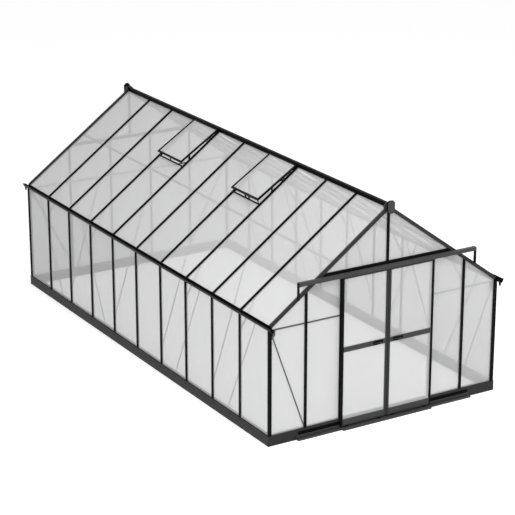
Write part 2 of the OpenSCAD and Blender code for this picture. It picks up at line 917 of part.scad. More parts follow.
module leaf_left_rails() {
    color(bar_tone)
        for (z = [
            [leaf_z0, leaf_z0 + bottom_rail_h],
            [mid_rail_z0, mid_rail_z1],
            [leaf_top - top_rail_h, leaf_top]
        ])
            block([leaf_x0 + stile_w, leaf_y0, z[0]], [leaf_x1 - stile_w, leaf_y1, z[1]]);
}

module leaf_left_sheets() {
    y = front_y - leaf_mid;
    color(sheet_tone)
        for (z = [[leaf_z0 + bottom_rail_h, mid_rail_z0], [mid_rail_z1, leaf_top - top_rail_h]])
            block(
                [leaf_x0 + stile_w, y - sheet_t / 2, z[0]],
                [leaf_x1 - stile_w, y + sheet_t / 2, z[1]]
            );
}

// Hanger plate between two rollers, standing on the leaf's top
module hanger(x) {
    axle_z = track_z + track_t + seat_gap + roller_d / 2;
    y = front_y - leaf_mid;
    block([x - hanger_w / 2, y - hanger_t / 2, leaf_top], [x + hanger_w / 2, y + hanger_t / 2, axle_z + hanger_over]);
    translate([x, y + hanger_t / 2 + roller_w, axle_z])
        rotate([90, 0, 0])
            cylinder(h = 2 * roller_w + hanger_t, d = roller_d, $fn = 48);
}

// Door handle: a back plate on the middle rail, two legs and a grip
module handle() {
    x1 = leaf_x1 - handle_inset;
    x0 = x1 - handle_l;
    y0 = leaf_y0 - handle_reach;
    z = mid_rail_z + handle_rise;
    block([x0, leaf_y0 - handle_plate_t, z - handle_h / 2], [x1, leaf_y0, z + handle_h / 2]);
    block([x0 + grip_inset, y0, z - grip_h / 2], [x1 - grip_inset, y0 + handle_t, z + grip_h / 2]);
    for (x = [x0 + grip_inset, x1 - grip_inset - handle_t])
        block([x, y0, z - grip_h / 2], [x + handle_t, leaf_y0, z + grip_h / 2]);
}

// Handle, hangers with their rollers, and the guide fins that run in the bottom track's groove
module leaf_left_fittings() {
    y = front_y - leaf_mid;
    fin_z = low_track_h - groove_d + fin_gap;
    color(bar_tone) {
        handle();
        for (x = [leaf_x0 + hanger_inset, leaf_x1 - hanger_inset]) {
            hanger(x);
            block([x - hanger_w / 2, y - hanger_t / 2, fin_z], [x + hanger_w / 2, y + hanger_t / 2, leaf_z0]);
        }
    }
}

module leaf_right_stiles() {
    mirror([1, 0, 0])
        leaf_left_stiles();
}

module leaf_right_rails() {
    mirror([1, 0, 0])
        leaf_left_rails();
}

module leaf_right_sheets() {
    mirror([1, 0, 0])
        leaf_left_sheets();
}

module leaf_right_fittings() {
    mirror([1, 0, 0])
        leaf_left_fittings();
}

base_sides();
base_front();
base_back();
posts_left();
posts_right();
corner_posts();
eave_beams();
gutter_left();
gutter_right();
ridge_beam();
ridge_ends();
roof_bars_left();
roof_bars_right();
gable_rafters();
purlins();
wall_sheets_left();
wall_sheets_right();
roof_sheets_left();
roof_sheets_right();
gable_sheets_front();
gable_sheets_back();
gable_posts_front();
gable_posts_back();
door_header();
gable_ties();
wall_braces();
gable_braces();
knee_braces();
vent_stiles();
vent_rails();
vent_sheets();
vent_sills();
vent_stays();
top_track();
track_brackets();
bottom_track();
door_sill();
leaf_left_stiles();
leaf_left_rails();
leaf_left_sheets();
leaf_left_fittings();
leaf_right_stiles();
leaf_right_rails();
leaf_right_sheets();
leaf_right_fittings();
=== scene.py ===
"""Dresses the polycarbonate greenhouse: coats, twin-wall sheets, bar profiles, fittings and the stage.

Lengths are metres in the frame's own axes: X across the door gable, Y along the house, Z up.
"""
import math

import bmesh
import bpy
import numpy as np
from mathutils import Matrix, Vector


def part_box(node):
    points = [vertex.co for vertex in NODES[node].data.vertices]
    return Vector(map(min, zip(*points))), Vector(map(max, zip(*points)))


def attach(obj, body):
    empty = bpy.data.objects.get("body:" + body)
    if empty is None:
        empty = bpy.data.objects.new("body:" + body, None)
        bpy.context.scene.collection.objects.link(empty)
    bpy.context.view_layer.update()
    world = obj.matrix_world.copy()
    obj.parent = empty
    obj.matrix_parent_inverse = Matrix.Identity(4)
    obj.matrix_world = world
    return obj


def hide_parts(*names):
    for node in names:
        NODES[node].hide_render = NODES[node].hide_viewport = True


bl_info = {
    "name": "Polycarbonate Greenhouse",
    "version": (1, 0, 0),
    "blender": (4, 5, 0),
    "location": "View3D > Sidebar > Greenhouse",
    "description": "Dresses a walk-in greenhouse of twin-wall sheets in a dark bar frame",
    "category": "Add Mesh",
}

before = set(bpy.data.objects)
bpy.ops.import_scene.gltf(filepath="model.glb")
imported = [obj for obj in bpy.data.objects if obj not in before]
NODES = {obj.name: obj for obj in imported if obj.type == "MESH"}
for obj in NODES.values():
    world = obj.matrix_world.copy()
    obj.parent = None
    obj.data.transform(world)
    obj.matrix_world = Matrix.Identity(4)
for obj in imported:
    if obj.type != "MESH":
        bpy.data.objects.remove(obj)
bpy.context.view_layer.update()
MM = 0.001
X, Y, Z = (1, 0, 0), (0, 1, 0), (0, 0, 1)


# ---------------------------------------------------------------- sizes and colours


class GreenhouseColours(bpy.types.PropertyGroup):
    """Colours of the coats and sheets."""

    bar_coat: bpy.props.FloatVectorProperty(
        name="Bar coat", description="Colour of the coated bars",
        subtype="COLOR", size=4, default=(0.003, 0.003, 0.0032, 1.0))
    # the rail grey is also painted sheen, on the gable rafters' tops and on the faces of the ridge end plates
    rail_coat: bpy.props.FloatVectorProperty(
        name="Rail coat and painted sheen", description="Colour of the coated door rails and tracks",
        subtype="COLOR", size=4, default=(0.060, 0.060, 0.061, 1.0))
    # the stile grey is also painted reflection, on the gable rafters' front and back faces
    stile_coat: bpy.props.FloatVectorProperty(
        name="Stile coat and painted reflection", description="Colour of the stiles where the door leaves meet",
        subtype="COLOR", size=4, default=(0.038, 0.038, 0.0385, 1.0))
    brace_coat: bpy.props.FloatVectorProperty(
        name="Brace coat", description="Colour of the coated ties and braces",
        subtype="COLOR", size=4, default=(0.100, 0.100, 0.101, 1.0))
    steel_coat: bpy.props.FloatVectorProperty(
        name="Steel coat", description="Colour of the coated base",
        subtype="COLOR", size=4, default=(0.030, 0.030, 0.0305, 1.0))
    # the fittings' near black also stands for shade: painted shade in the strip over the bottom track, in
    # part in the pulls' rims, and on the ridge end plates' sides
    fitting_coat: bpy.props.FloatVectorProperty(
        name="Fittings", description="Colour of the moulded fittings",
        subtype="COLOR", size=4, default=(0.0015, 0.0015, 0.0016, 1.0))
    bolt_coat: bpy.props.FloatVectorProperty(
        name="Bolts", description="Colour of the blackened bolts and screws",
        subtype="COLOR", size=4, default=(0.016, 0.016, 0.017, 1.0))
    sheet_tint: bpy.props.FloatVectorProperty(
        name="Sheet tint", description="Colour of the twin-wall sheets",
        subtype="COLOR", size=4, default=(0.74, 0.74, 0.742, 1.0))
    floor_tint: bpy.props.FloatVectorProperty(
        name="Floor tint", description="Colour of the pale floor",
        subtype="COLOR", size=4, default=(0.85, 0.85, 0.85, 1.0))


class GreenhouseSheets(bpy.types.PropertyGroup):
    """Sizes of the twin-wall sheets' pattern."""

    veil: bpy.props.FloatProperty(
        name="Veil", description="How much one skin of a wall or gable sheet hides", subtype="FACTOR",
        default=0.46, min=0.0, max=1.0)
    roof_veil: bpy.props.FloatProperty(
        name="Roof veil", description="How much one skin of a roof sheet hides", subtype="FACTOR",
        default=0.52, min=0.0, max=1.0)
    flute: bpy.props.FloatProperty(
        name="Flute pitch", description="Distance between the sheets' inner walls",
        unit="LENGTH", default=0.0065, min=0.003, max=0.02)


class GreenhouseBars(bpy.types.PropertyGroup):
    """Sizes of the bars, gutters, base and bolts that the frame's solids don't give."""

    out: bpy.props.FloatProperty(
        name="Bar stands out", description="How far a bar stands out from the wall or roof line",
        unit="LENGTH", default=0.012)
    wall_seat: bpy.props.FloatProperty(
        name="Wall sheet seat", unit="LENGTH", default=0.015,
        description="Depth of a wall or roof sheet's outer face behind the bars' faces")
    gable_seat: bpy.props.FloatProperty(
        name="Gable sheet seat", unit="LENGTH", default=0.018,
        description="Depth of a gable sheet's outer face behind the bars' faces")
    purlin_flange: bpy.props.FloatProperty(
        name="Purlin flange", description="Width of the purlins' flanges", unit="LENGTH", default=0.026)
    purlin_sheet: bpy.props.FloatProperty(
        name="Purlin sheet", description="Thickness of the purlins' flanges", unit="LENGTH", default=0.0025)
    gutter_floor: bpy.props.FloatProperty(
        name="Gutter floor", description="Width of the gutters' floor", unit="LENGTH", default=0.026)
    gutter_wall: bpy.props.FloatProperty(
        name="Gutter wall", description="Thickness of the gutters' sheet", unit="LENGTH", default=0.002)
    gutter_cap: bpy.props.FloatProperty(
        name="Gutter end cap", description="Thickness of the gutters' end caps", unit="LENGTH", default=0.006)
    gutter_back_drop: bpy.props.FloatProperty(
        name="Gutter back drop", description="How far the gutters' backs end below the rims",
        unit="LENGTH", default=0.010)
    base_fold: bpy.props.FloatProperty(
        name="Base sheet", description="Thickness of the base's folded sheet", unit="LENGTH", default=0.003)
    base_lip: bpy.props.FloatProperty(
        name="Base lip", description="Height of the base channel's inner lips", unit="LENGTH", default=0.015)
    # the strip over the bottom track is painted shade: a thin dark sheet for the shade in the groove there
    shade_strip_tall: bpy.props.FloatProperty(
        name="Shade strip height", description="Height of the shade strip over the bottom track",
        unit="LENGTH", default=0.042)
    shade_strip_thick: bpy.props.FloatProperty(
        name="Shade strip thickness", description="Thickness of the shade strip over the bottom track",
        unit="LENGTH", default=0.0015)
    pull_rim: bpy.props.FloatProperty(
        name="Pull rim", description="Width of the door pulls' rims and bows", unit="LENGTH", default=0.010)
    hanger_over: bpy.props.FloatProperty(
        name="Hanger over axle", description="Height of the hanger plates above the rollers' axles",
        unit="LENGTH", default=0.008)
    bolt: bpy.props.FloatProperty(
        name="Bolt size", description="Size of a bolt: its washer's radius is 0.95 of this, its head's 0.62",
        unit="LENGTH", default=0.008)
    bolt_drop: bpy.props.FloatProperty(
        name="Bolt drop", description="Depth of the post bolts below the base's top",
        unit="LENGTH", default=0.030)


class GreenhouseStage(bpy.types.PropertyGroup):
    """Places and strengths of the lamps, and the camera's lens and place."""

    floor_size: bpy.props.FloatProperty(
        name="Floor size", description="Length of the floor's sides", unit="LENGTH", default=120.0)
    key_power: bpy.props.FloatProperty(
        name="Key lamp", description="Power of the lamp at the door gable's right",
        unit="POWER", default=290.0)
    fill_power: bpy.props.FloatProperty(
        name="Fill lamp", description="Power of the lamp beside the left wall",
        unit="POWER", default=240.0)
    top_power: bpy.props.FloatProperty(
        name="Top lamp", description="Power of the lamp over the left slope",
        unit="POWER", default=300.0)
    world_light: bpy.props.FloatProperty(
        name="World", description="Strength of the white world's light", default=0.55, min=0.0)
    floor_glow: bpy.props.FloatProperty(
        name="Floor glow", description="Light added to the floor where it is seen", default=0.5, min=0.0)
    lens: bpy.props.FloatProperty(
        name="Lens", description="Camera's focal length in millimetres on a 36 mm sensor", default=133.2)
    camera_place: bpy.props.FloatVectorProperty(
        name="Camera place", description="Camera's place, its y counted from the front gable's sheets",
        subtype="TRANSLATION", unit="LENGTH", size=3, default=(-11.4595, -16.1812, 8.7397))
    camera_aim: bpy.props.FloatVectorProperty(
        name="Camera aim", description="Direction in which the camera looks",
        subtype="DIRECTION", size=3, default=(0.48947, 0.80853, -0.32666))


CLASSES = [GreenhouseColours, GreenhouseSheets, GreenhouseBars, GreenhouseStage]


def operator(cls):
    """Adds an operator class to the list that register works through."""
    CLASSES.append(cls)
    return cls


def colours():
    return bpy.context.scene.greenhouse_colours


def sheets():
    return bpy.context.scene.greenhouse_sheets


def bars():
    return bpy.context.scene.greenhouse_bars


def stage():
    return bpy.context.scene.greenhouse_stage


# ---------------------------------------------------------------- node helpers


def new_material(name):
    """An empty node material with its output node."""
    material = bpy.data.materials.new(name)
    material.use_nodes = True
    tree = material.node_tree
    tree.nodes.clear()
    return material, tree, tree.nodes.new("ShaderNodeOutputMaterial")


def add(tree, kind, **settings):
    """Adds a node, sets its attributes, and its unlinked inputs by name."""
    node = tree.nodes.new(kind)
    for key, value in settings.items():
        if hasattr(node, key):
            setattr(node, key, value)
        else:
            node.inputs[key.replace("_", " ")].default_value = value
    return node


def new_group(name, inputs, outputs):
    """A shader node group with named float inputs (with defaults) and outputs (with socket types)."""
    group = bpy.data.node_groups.new(name, "ShaderNodeTree")
    for label, default in inputs.items():
        socket = group.interface.new_socket(label, in_out="INPUT", socket_type="NodeSocketFloat")
        socket.default_value = default
    for label, kind in outputs.items():
        group.interface.new_socket(label, in_out="OUTPUT", socket_type=kind)
    return group, group.nodes.new("NodeGroupInput"), group.nodes.new("NodeGroupOutput")


def grain_group():
    """Fine orange-peel grain with slow patches: one noise for the grain, one for the patches."""
    if "coat grain" in bpy.data.node_groups:
        return bpy.data.node_groups["coat grain"]
    group, given, out = new_group(
        "coat grain",
        {"Grain size": 0.004, "Patch size": 0.6, "Depth": 0.02, "Rough low": 0.35, "Rough high": 0.5},
        {"Normal": "NodeSocketVector", "Roughness": "NodeSocketFloat", "Patch": "NodeSocketFloat"})
    link = group.links.new
    place = group.nodes.new("ShaderNodeTexCoord")
    for label, size, detail in (("grain", "Grain size", 2.0), ("patch", "Patch size", 3.0)):
        rate = add(group, "ShaderNodeMath", operation="DIVIDE", name=label + " rate")
        rate.inputs[0].default_value = 1.0
        link(given.outputs[size], rate.inputs[1])
        noise = add(group, "ShaderNodeTexNoise", name=label, Detail=detail)
        link(place.outputs["Object"], noise.inputs["Vector"])
        link(rate.outputs[0], noise.inputs["Scale"])
    bump = add(group, "ShaderNodeBump", Distance=0.0004)
    link(given.outputs["Depth"], bump.inputs["Strength"])
    link(group.nodes["grain"].outputs["Fac"], bump.inputs["Height"])
    rough = group.nodes.new("ShaderNodeMapRange")
    link(group.nodes["patch"].outputs["Fac"], rough.inputs["Value"])
    link(given.outputs["Rough low"], rough.inputs["To Min"])
    link(given.outputs["Rough high"], rough.inputs["To Max"])
    link(bump.outputs["Normal"], out.inputs["Normal"])
    link(rough.outputs["Result"], out.inputs["Roughness"])
    link(group.nodes["patch"].outputs["Fac"], out.inputs["Patch"])
    return group


def shades(tree, colour, lift):
    """A ramp from a little darker than the colour to a little lighter, by the share lift."""
    ramp = tree.nodes.new("ShaderNodeValToRGB")
    dark, light = ramp.color_ramp.elements
    dark.color = [c * (1 - lift) for c in colour[:3]] + [1]
    light.color = [c * (1 + lift) for c in colour[:3]] + [1]
    return ramp


def coat_material(name, colour, depth, rough, lift=0.3, gloss=0.10):
    """Coated metal or moulded plastic: the colour drifts a little in patches, over a fine grain."""
    material, tree, out = new_material(name)
    link = tree.links.new
    shader = add(tree, "ShaderNodeBsdfPrincipled", Metallic=0.0)
    shader.inputs["Specular IOR Level"].default_value = gloss
    grain = tree.nodes.new("ShaderNodeGroup")
    grain.node_tree = grain_group()
    grain.inputs["Depth"].default_value = depth
    grain.inputs["Rough low"].default_value = rough - 0.06
    grain.inputs["Rough high"].default_value = rough + 0.06
    tones = shades(tree, colour, lift)
    tones.color_ramp.elements[0].position = 0.3
    tones.color_ramp.elements[1].position = 0.7
    link(grain.outputs["Patch"], tones.inputs["Fac"])
    link(tones.outputs["Color"], shader.inputs["Base Color"])
    link(grain.outputs["Roughness"], shader.inputs["Roughness"])
    link(grain.outputs["Normal"], shader.inputs["Normal"])
    link(shader.outputs["BSDF"], out.inputs["Surface"])
    return material


def flute_group():
    """Twin-wall flutes: a line at each inner wall, and slow bands over them.

    lines = how near place / pitch is to a whole number, times the line veil; bands = noise along place."""
    if "twin-wall flutes" in bpy.data.node_groups:
        return bpy.data.node_groups["twin-wall flutes"]
    group, given, out = new_group(
        "twin-wall flutes", {"Place": 0.0, "Pitch": 0.006, "Line veil": 0.1},
        {"Lines": "NodeSocketFloat", "Bands": "NodeSocketFloat"})
    link = group.links.new
    turns = add(group, "ShaderNodeMath", operation="DIVIDE")
    link(given.outputs["Place"], turns.inputs[0])
    link(given.outputs["Pitch"], turns.inputs[1])
    part = add(group, "ShaderNodeMath", operation="PINGPONG")
    part.inputs[1].default_value = 0.5
    link(turns.outputs[0], part.inputs[0])
    near = add(group, "ShaderNodeMapRange", interpolation_type="SMOOTHSTEP")
    for label, value in (("From Min", 0.0), ("From Max", 0.16), ("To Min", 1.0), ("To Max", 0.0)):
        near.inputs[label].default_value = value
    link(part.outputs[0], near.inputs["Value"])
    scaled = add(group, "ShaderNodeMath", operation="MULTIPLY")
    link(near.outputs["Result"], scaled.inputs[0])
    link(given.outputs["Line veil"], scaled.inputs[1])
    noise = add(group, "ShaderNodeTexNoise", noise_dimensions="1D", Scale=3.0, Detail=0.0)
    link(given.outputs["Place"], noise.inputs["W"])
    link(scaled.outputs[0], out.inputs["Lines"])
    link(noise.outputs["Fac"], out.inputs["Bands"])
    return group


def sheet_material(name, axis, hides):
    """Frosted twin-wall sheet: a pale veil over what lies behind, thicker along its flutes."""
    material, tree, out = new_material(name)
    link = tree.links.new
    shader = add(tree, "ShaderNodeBsdfPrincipled", Metallic=0.0, Roughness=0.5, IOR=1.45)
    shader.inputs["Specular IOR Level"].default_value = 0.12
    place = tree.nodes.new("ShaderNodeTexCoord")
    parts = tree.nodes.new("ShaderNodeSeparateXYZ")
    link(place.outputs["Object"], parts.inputs["Vector"])
    flutes = tree.nodes.new("ShaderNodeGroup")
    flutes.node_tree = flute_group()
    flutes.inputs["Pitch"].default_value = sheets().flute
    flutes.inputs["Line veil"].default_value = 0.03
    link(parts.outputs[axis], flutes.inputs["Place"])
    veil = tree.nodes.new("ShaderNodeMapRange")
    veil.inputs["To Min"].default_value = hides * 0.995
    veil.inputs["To Max"].default_value = hides * 1.005
    link(flutes.outputs["Bands"], veil.inputs["Value"])
    total = add(tree, "ShaderNodeMath", operation="ADD", use_clamp=True)
    link(veil.outputs["Result"], total.inputs[0])
    link(flutes.outputs["Lines"], total.inputs[1])
    # most light goes on through a sheet, so a shadow ray meets only a share of the veil
    path = tree.nodes.new("ShaderNodeLightPath")
    share = tree.nodes.new("ShaderNodeMapRange")
    share.inputs["To Min"].default_value = 1.0
    share.inputs["To Max"].default_value = 0.25
    link(path.outputs["Is Shadow Ray"], share.inputs["Value"])
    kept = add(tree, "ShaderNodeMath", operation="MULTIPLY")
    link(total.outputs[0], kept.inputs[0])
    link(share.outputs["Result"], kept.inputs[1])
    link(kept.outputs[0], shader.inputs["Alpha"])
    tones = shades(tree, colours().sheet_tint, 0.003)
    link(flutes.outputs["Bands"], tones.inputs["Fac"])
    link(tones.outputs["Color"], shader.inputs["Base Color"])
    link(shader.outputs["BSDF"], out.inputs["Surface"])
    return material


# each finish by name; its function is given the name that the material gets
MATERIALS = {
    "bar coat": lambda n: coat_material(n, colours().bar_coat, 0.05, 0.42, gloss=0.06),
    "rail coat": lambda n: coat_material(n, colours().rail_coat, 0.06, 0.46, lift=0.08),
    "brace coat": lambda n: coat_material(n, colours().brace_coat, 0.06, 0.46, lift=0.08),
    "steel coat": lambda n: coat_material(n, colours().steel_coat, 0.08, 0.46, lift=0.15),
    "stile coat": lambda n: coat_material(n, colours().stile_coat, 0.05, 0.46, lift=0.08),
    "fitting coat": lambda n: coat_material(n, colours().fitting_coat, 0.04, 0.4, gloss=0.03),
    "bolt coat": lambda n: coat_material(n, colours().bolt_coat, 0.05, 0.35),
    "gable sheet": lambda n: sheet_material(n, "X", sheets().veil),
    "wall sheet": lambda n: sheet_material(n, "Y", sheets().veil),
    "roof sheet": lambda n: sheet_material(n, "Y", sheets().roof_veil),
}


def material(name):
    """The named material, made once."""
    return bpy.data.materials.get(name) or MATERIALS[name](name)


def dress(node, name):
    """Gives a CAD node one material in all its slots."""
    mesh = NODES[node].data
    mesh.materials.clear()
    mesh.materials.append(material(name))


# the finish of each CAD node; the nodes that aren't here have the bar coat
COATS = {
    "gable sheet": ("gable_sheets_front", "gable_sheets_back", "leaf_left_sheets", "leaf_right_sheets"),
    "wall sheet": ("wall_sheets_left", "wall_sheets_right"),
    "roof sheet": ("roof_sheets_left", "roof_sheets_right", "vent_sheets"),
    "steel coat": ("base_sides", "base_front", "base_back"),
    "rail coat": ("top_track", "bottom_track", "door_sill", "leaf_left_rails", "leaf_right_rails"),
    "brace coat": ("gable_ties", "gable_braces", "wall_braces", "knee_braces"),
    "fitting coat": ("leaf_left_fittings", "leaf_right_fittings", "ridge_ends"),
}


@operator
class GREENHOUSE_OT_dress(bpy.types.Operator):
    """Coats every solid of the frame that shows"""

    bl_idname = "greenhouse.dress"
    bl_label = "Coat the solids"

    def execute(self, context):
        named = {node: name for name, nodes in COATS.items() for node in nodes}
        for node in NODES:
            dress(node, named.get(node, "bar coat"))
        return {"FINISHED"}


# ---------------------------------------------------------------- solids of the frame


def solid_points(node):
    """Corner points of each separate solid of a CAD node, in order along the house and then across.

    Corners that share a place are one, and every triangle passes its lowest label on until none changes."""
    mesh = NODES[node].data
    places = np.empty(len(mesh.vertices) * 3, np.float32)
    mesh.vertices.foreach_get("co", places)
    mesh.calc_loop_triangles()
    triangles = np.empty(len(mesh.loop_triangles) * 3, np.int32)
    mesh.loop_triangles.foreach_get("vertices", triangles)
    steps = np.round(places.reshape(-1, 3).astype(float) * 1e5).astype(np.int64)
    corners, same = np.unique(steps, axis=0, return_inverse=True)
    triangles = same.ravel()[triangles].reshape(-1, 3)
    labels = np.arange(len(corners))
    while True:
        lowest = labels[triangles].min(1)
        passed = labels.copy()
        for k in range(3):
            np.minimum.at(passed, triangles[:, k], lowest)
        passed = passed[passed]
        if (passed == labels).all():
            break
        labels = passed
    solids = [corners[labels == label] / 1e5 for label in np.unique(labels)]
    return sorted(solids, key=lambda p: (round(p[:, 1].min(), 3), round(p[:, 0].min(), 3)))


def solid_boxes(node):
    """Array of (lowest corner, highest corner) for each solid of a CAD node."""
    return np.array([(p.min(0), p.max(0)) for p in solid_points(node)])


def node_box(node):
    """Lowest and highest corner of a whole CAD node."""
    return np.array([list(corner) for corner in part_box(node)])


def upward(bar):
    """Direction (x, z) up the slope: from a left roof bar's lowest corner to its lowest one at the ridge."""
    points = bar[:, [0, 2]]
    low = points[points[:, 1].argmin()]
    ahead = points[np.abs(points[:, 0] - points[:, 0].max()) < 0.1 * MM]
    across = ahead - low
    tilt = np.arctan2(across[:, 1], across[:, 0])
    return across[tilt.argmin()] / np.linalg.norm(across[tilt.argmin()])


class Lines:
    """Places that the pieces share, read from the frame."""

    def __init__(self):
        bar = solid_points("roof_bars_left")[0]
        up_x, up_z = upward(bar)
        self.slope = np.array([up_x, 0, up_z])
        self.normal = np.array([-up_z, 0, up_x])
        half_w = -solid_boxes("posts_left")[:, 0, 0].min() - bars().out
        eave_h = ((bar @ self.normal).max() - bars().out - up_z * half_w) / up_x
        self.eave = np.array([-half_w, 0, eave_h])
        self.ridge_x = abs(solid_boxes("roof_bars_left")[:, 1, 0].max())
        self.ridge_side = ((-self.ridge_x, 0, 0), X)

    def climb(self, points):
        """Distance up the left slope from the wall line."""
        return (points - self.eave) @ self.slope

    def rise(self, points):
        """Distance out from the left slope's roof line."""
        return (points - self.eave) @ self.normal

    def slope_point(self, s, y, n=0.0):
        """Point of the left slope: s up from the wall line, n out from the roof line."""
        return self.eave + (0, y, 0) + s * self.slope + n * self.normal

    def foot(self, points):
        """The plane, square to the slope, at which a solid starts."""
        return self.slope_point(self.climb(points).min(), 0), self.slope


# ---------------------------------------------------------------- surfaces


def rounded(outline, radius, steps=3):
    """Outline with each corner turned into a short curve: quadratic blend from one side to the next."""
    points = np.asarray(outline, float)
    before, after = np.roll(points, 1, 0) - points, np.roll(points, -1, 0) - points
    to_last, to_next = (np.linalg.norm(side, axis=1)[:, None] for side in (before, after))
    reach = np.minimum(radius, 0.45 * np.minimum(to_last, to_next))
    first = points + before / to_last * reach
    last = points + after / to_next * reach
    t = np.linspace(0, 1, steps)[None, :, None]
    curve = (1 - t) ** 2 * first[:, None] + 2 * t * (1 - t) * points[:, None] + t ** 2 * last[:, None]
    return curve.reshape(-1, 2)


def mirrored(half):
    """Outline made of the given right half (from the top down) and its mirror image."""
    half = np.asarray(half, float)
    return np.vstack([half, (half * (-1, 1))[::-1]])


def rectangle(u0, u1, v0, v1):
    """Outline of a rectangle from (u0, v0) to (u1, v1)."""
    return [(u0, v0), (u1, v0), (u1, v1), (u0, v1)]


def signed_area(outline):
    """Area of an outline, positive where it runs anticlockwise."""
    x, y = np.asarray(outline).T
    return 0.5 * float(np.sum(x * np.roll(y, -1) - y * np.roll(x, -1)))


def ring_faces(rows, count):
    """Faces over rings of points laid one after the other, point k of ring i at index i * count + k.

    Quads join neighbouring rings, and the first and the last ring are filled."""
    i, k = np.meshgrid(np.arange(rows - 1) * count, np.arange(count), indexing="ij")
    i, k = i.ravel(), k.ravel()
    j, m = i + count, (k + 1) % count
    faces = np.stack([i + m, j + m, j + k, i + k], 1).tolist()
    ring = np.arange(count)
    return faces + [ring[::-1].tolist(), ((rows - 1) * count + ring).tolist()]


def joined(*shapes):
    """Several (vertices, faces) shapes as one."""
    vertices, faces, count = [], [], 0
    for points, polygons in shapes:
        vertices.append(points)
        faces += [[index + count for index in polygon] for polygon in polygons]
        count += len(points)
    return np.vstack(vertices), faces


def prisms(outline, origins, across, out, along, foot, head):
    """Straight bars of one outline.

    Outline point (u, v) of a bar stands at origin + u * across + v * out, and runs along until it
    meets the foot plane and the head plane, each given by a point (or one for each bar) and a normal."""
    outline = np.asarray(outline, float)
    across, out, along = (np.asarray(v, float) for v in (across, out, along))
    if np.dot(np.cross(across, out), along) * signed_area(outline) < 0:
        outline = outline[::-1]
    origins = np.atleast_2d(np.asarray(origins, float))
    start = origins[:, None] + outline[None, :, :1] * across + outline[None, :, 1:] * out
    rings = []
    for point, normal in (foot, head):
        point = np.broadcast_to(np.asarray(point, float), origins.shape)
        run = ((point[:, None] - start) @ np.asarray(normal, float)) / (along @ normal)
        rings.append(start + run[..., None] * along)
    faces = ring_faces(2, len(outline))
    return joined(*((bar.reshape(-1, 3), faces) for bar in np.stack(rings, 1)))


def squared(outline, origins, across, out, along, start, end):
    """Straight bars of one outline, cut square to their length at the points start and end."""
    return prisms(outline, origins, across, out, along, (start, along), (end, along))


def carried(outline, path, up):
    """One outline carried along an open path.

    Each ring stands square to the path: u runs along path x up, and v along up."""
    outline, path = np.asarray(outline, float), np.asarray(path, float)
    along = np.gradient(path, axis=0)
    along /= np.linalg.norm(along, axis=1)[:, None]
    side = np.cross(along, np.broadcast_to(np.asarray(up, float), path.shape))
    side /= np.linalg.norm(side, axis=1)[:, None]
    high = np.cross(side, along)
    if signed_area(outline) < 0:
        outline = outline[::-1]
    rings = path[:, None] + outline[None, :, :1] * side[:, None] + outline[None, :, 1:] * high[:, None]
    return rings.reshape(-1, 3), ring_faces(len(path), len(outline))


def turned(profile, centres, axis, sides):
    """A profile of (radius, height) rings turned round an axis at each centre, with flat ends."""
    profile = np.asarray(profile, float)
    axis = np.asarray(axis, float) / np.linalg.norm(axis)
    first = np.cross(Z if abs(axis[2]) < 0.9 else X, axis)
    first /= np.linalg.norm(first)
    second = np.cross(axis, first)
    turn = np.arange(sides) * 2 * np.pi / sides
    circle = np.cos(turn)[:, None] * first + np.sin(turn)[:, None] * second
    shape = (profile[:, None, :1] * circle[None] + profile[:, None, 1:] * axis).reshape(-1, 3)
    faces = ring_faces(len(profile), sides)
    return joined(*((shape + centre, faces) for centre in np.atleast_2d(np.asarray(centres, float))))


def flipped_x(shape):
    """The shape mirrored to the other side of the house, with its faces turned back outwards."""
    vertices, faces = shape
    return vertices * (-1, 1, 1), [polygon[::-1] for polygon in faces]


# ---------------------------------------------------------------- pieces


# an edge that turns by more than this is shaded as an edge
SHARP = math.radians(35)


def put(name, shape, stands_for=(), look="bar coat", slot="frame_bar", body="greenhouse"):
    """Makes the piece: mesh, material and body, and hides the CAD nodes it stands for. The slot is not used.
    """
    vertices, faces = shape
    mesh = bpy.data.meshes.new(name)
    mesh.from_pydata(np.asarray(vertices).tolist(), [], faces)
    shell = bmesh.new()
    shell.from_mesh(mesh)
    bmesh.ops.recalc_face_normals(shell, faces=shell.faces)
    shell.to_mesh(mesh)
    shell.free()
    mesh.polygons.foreach_set("use_smooth", [True] * len(mesh.polygons))
    mesh.set_sharp_from_angle(angle=SHARP)
    mesh.materials.append(material(look))
    piece = bpy.data.objects.new(name, mesh)
    bpy.context.scene.collection.objects.link(piece)
    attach(piece, body)
    if stands_for:
        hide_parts(*stands_for)
    return piece


def put_pair(name, left, node, **settings):
    """A piece at the left for the node's left half, and its mirror image at the right for the right half."""
    put(name + "_left", left, [node + "_left"], **settings)
    put(name + "_right", flipped_x(left), [node + "_right"], **settings)


def face_values(mesh, attribute, kind, width):
    """One attribute of all the faces, as an array of the kind with the given width."""
    values = np.empty(len(mesh.polygons) * width, kind)
    mesh.polygons.foreach_get(attribute, values)
    return values.reshape(-1, width)


def paint(piece, look, chosen):
    """Gives a further material to the faces that chosen(centres, normals) picks."""
    mesh = piece.data
    mesh.materials.append(material(look))
    slots = face_values(mesh, "material_index", np.int32, 1)[:, 0]
    picked = chosen(face_values(mesh, "center", np.float32, 3), face_values(mesh, "normal", np.float32, 3))
    slots[picked] = len(mesh.materials) - 1
    mesh.polygons.foreach_set("material_index", slots)


def glazing_bar(width, depth, seat):
    """Outline of a glazing bar, v = 0 on its outer face.

    A grooved cap, straight sides, a rubber notch over the sheet's seat, and a narrow web with a bolt slot."""
    half = width / 2
    return mirrored([
        (2.5 * MM, -1.2 * MM), (3.5 * MM, 0), (half - 2.5 * MM, 0), (half, -2.5 * MM),
        (half, 3 * MM - seat), (half - 1.5 * MM, 2 * MM - seat), (half - 1.5 * MM, 0.5 * MM - seat),
        (half, -seat), (half, -seat - 7 * MM), (0.5 * half, -seat - 8 * MM),
        (0.5 * half, 2.5 * MM - depth), (0.65 * half, 2 * MM - depth), (0.65 * half, -depth),
        (0.3 * half, -depth), (0.3 * half, 3.5 * MM - depth),
    ])


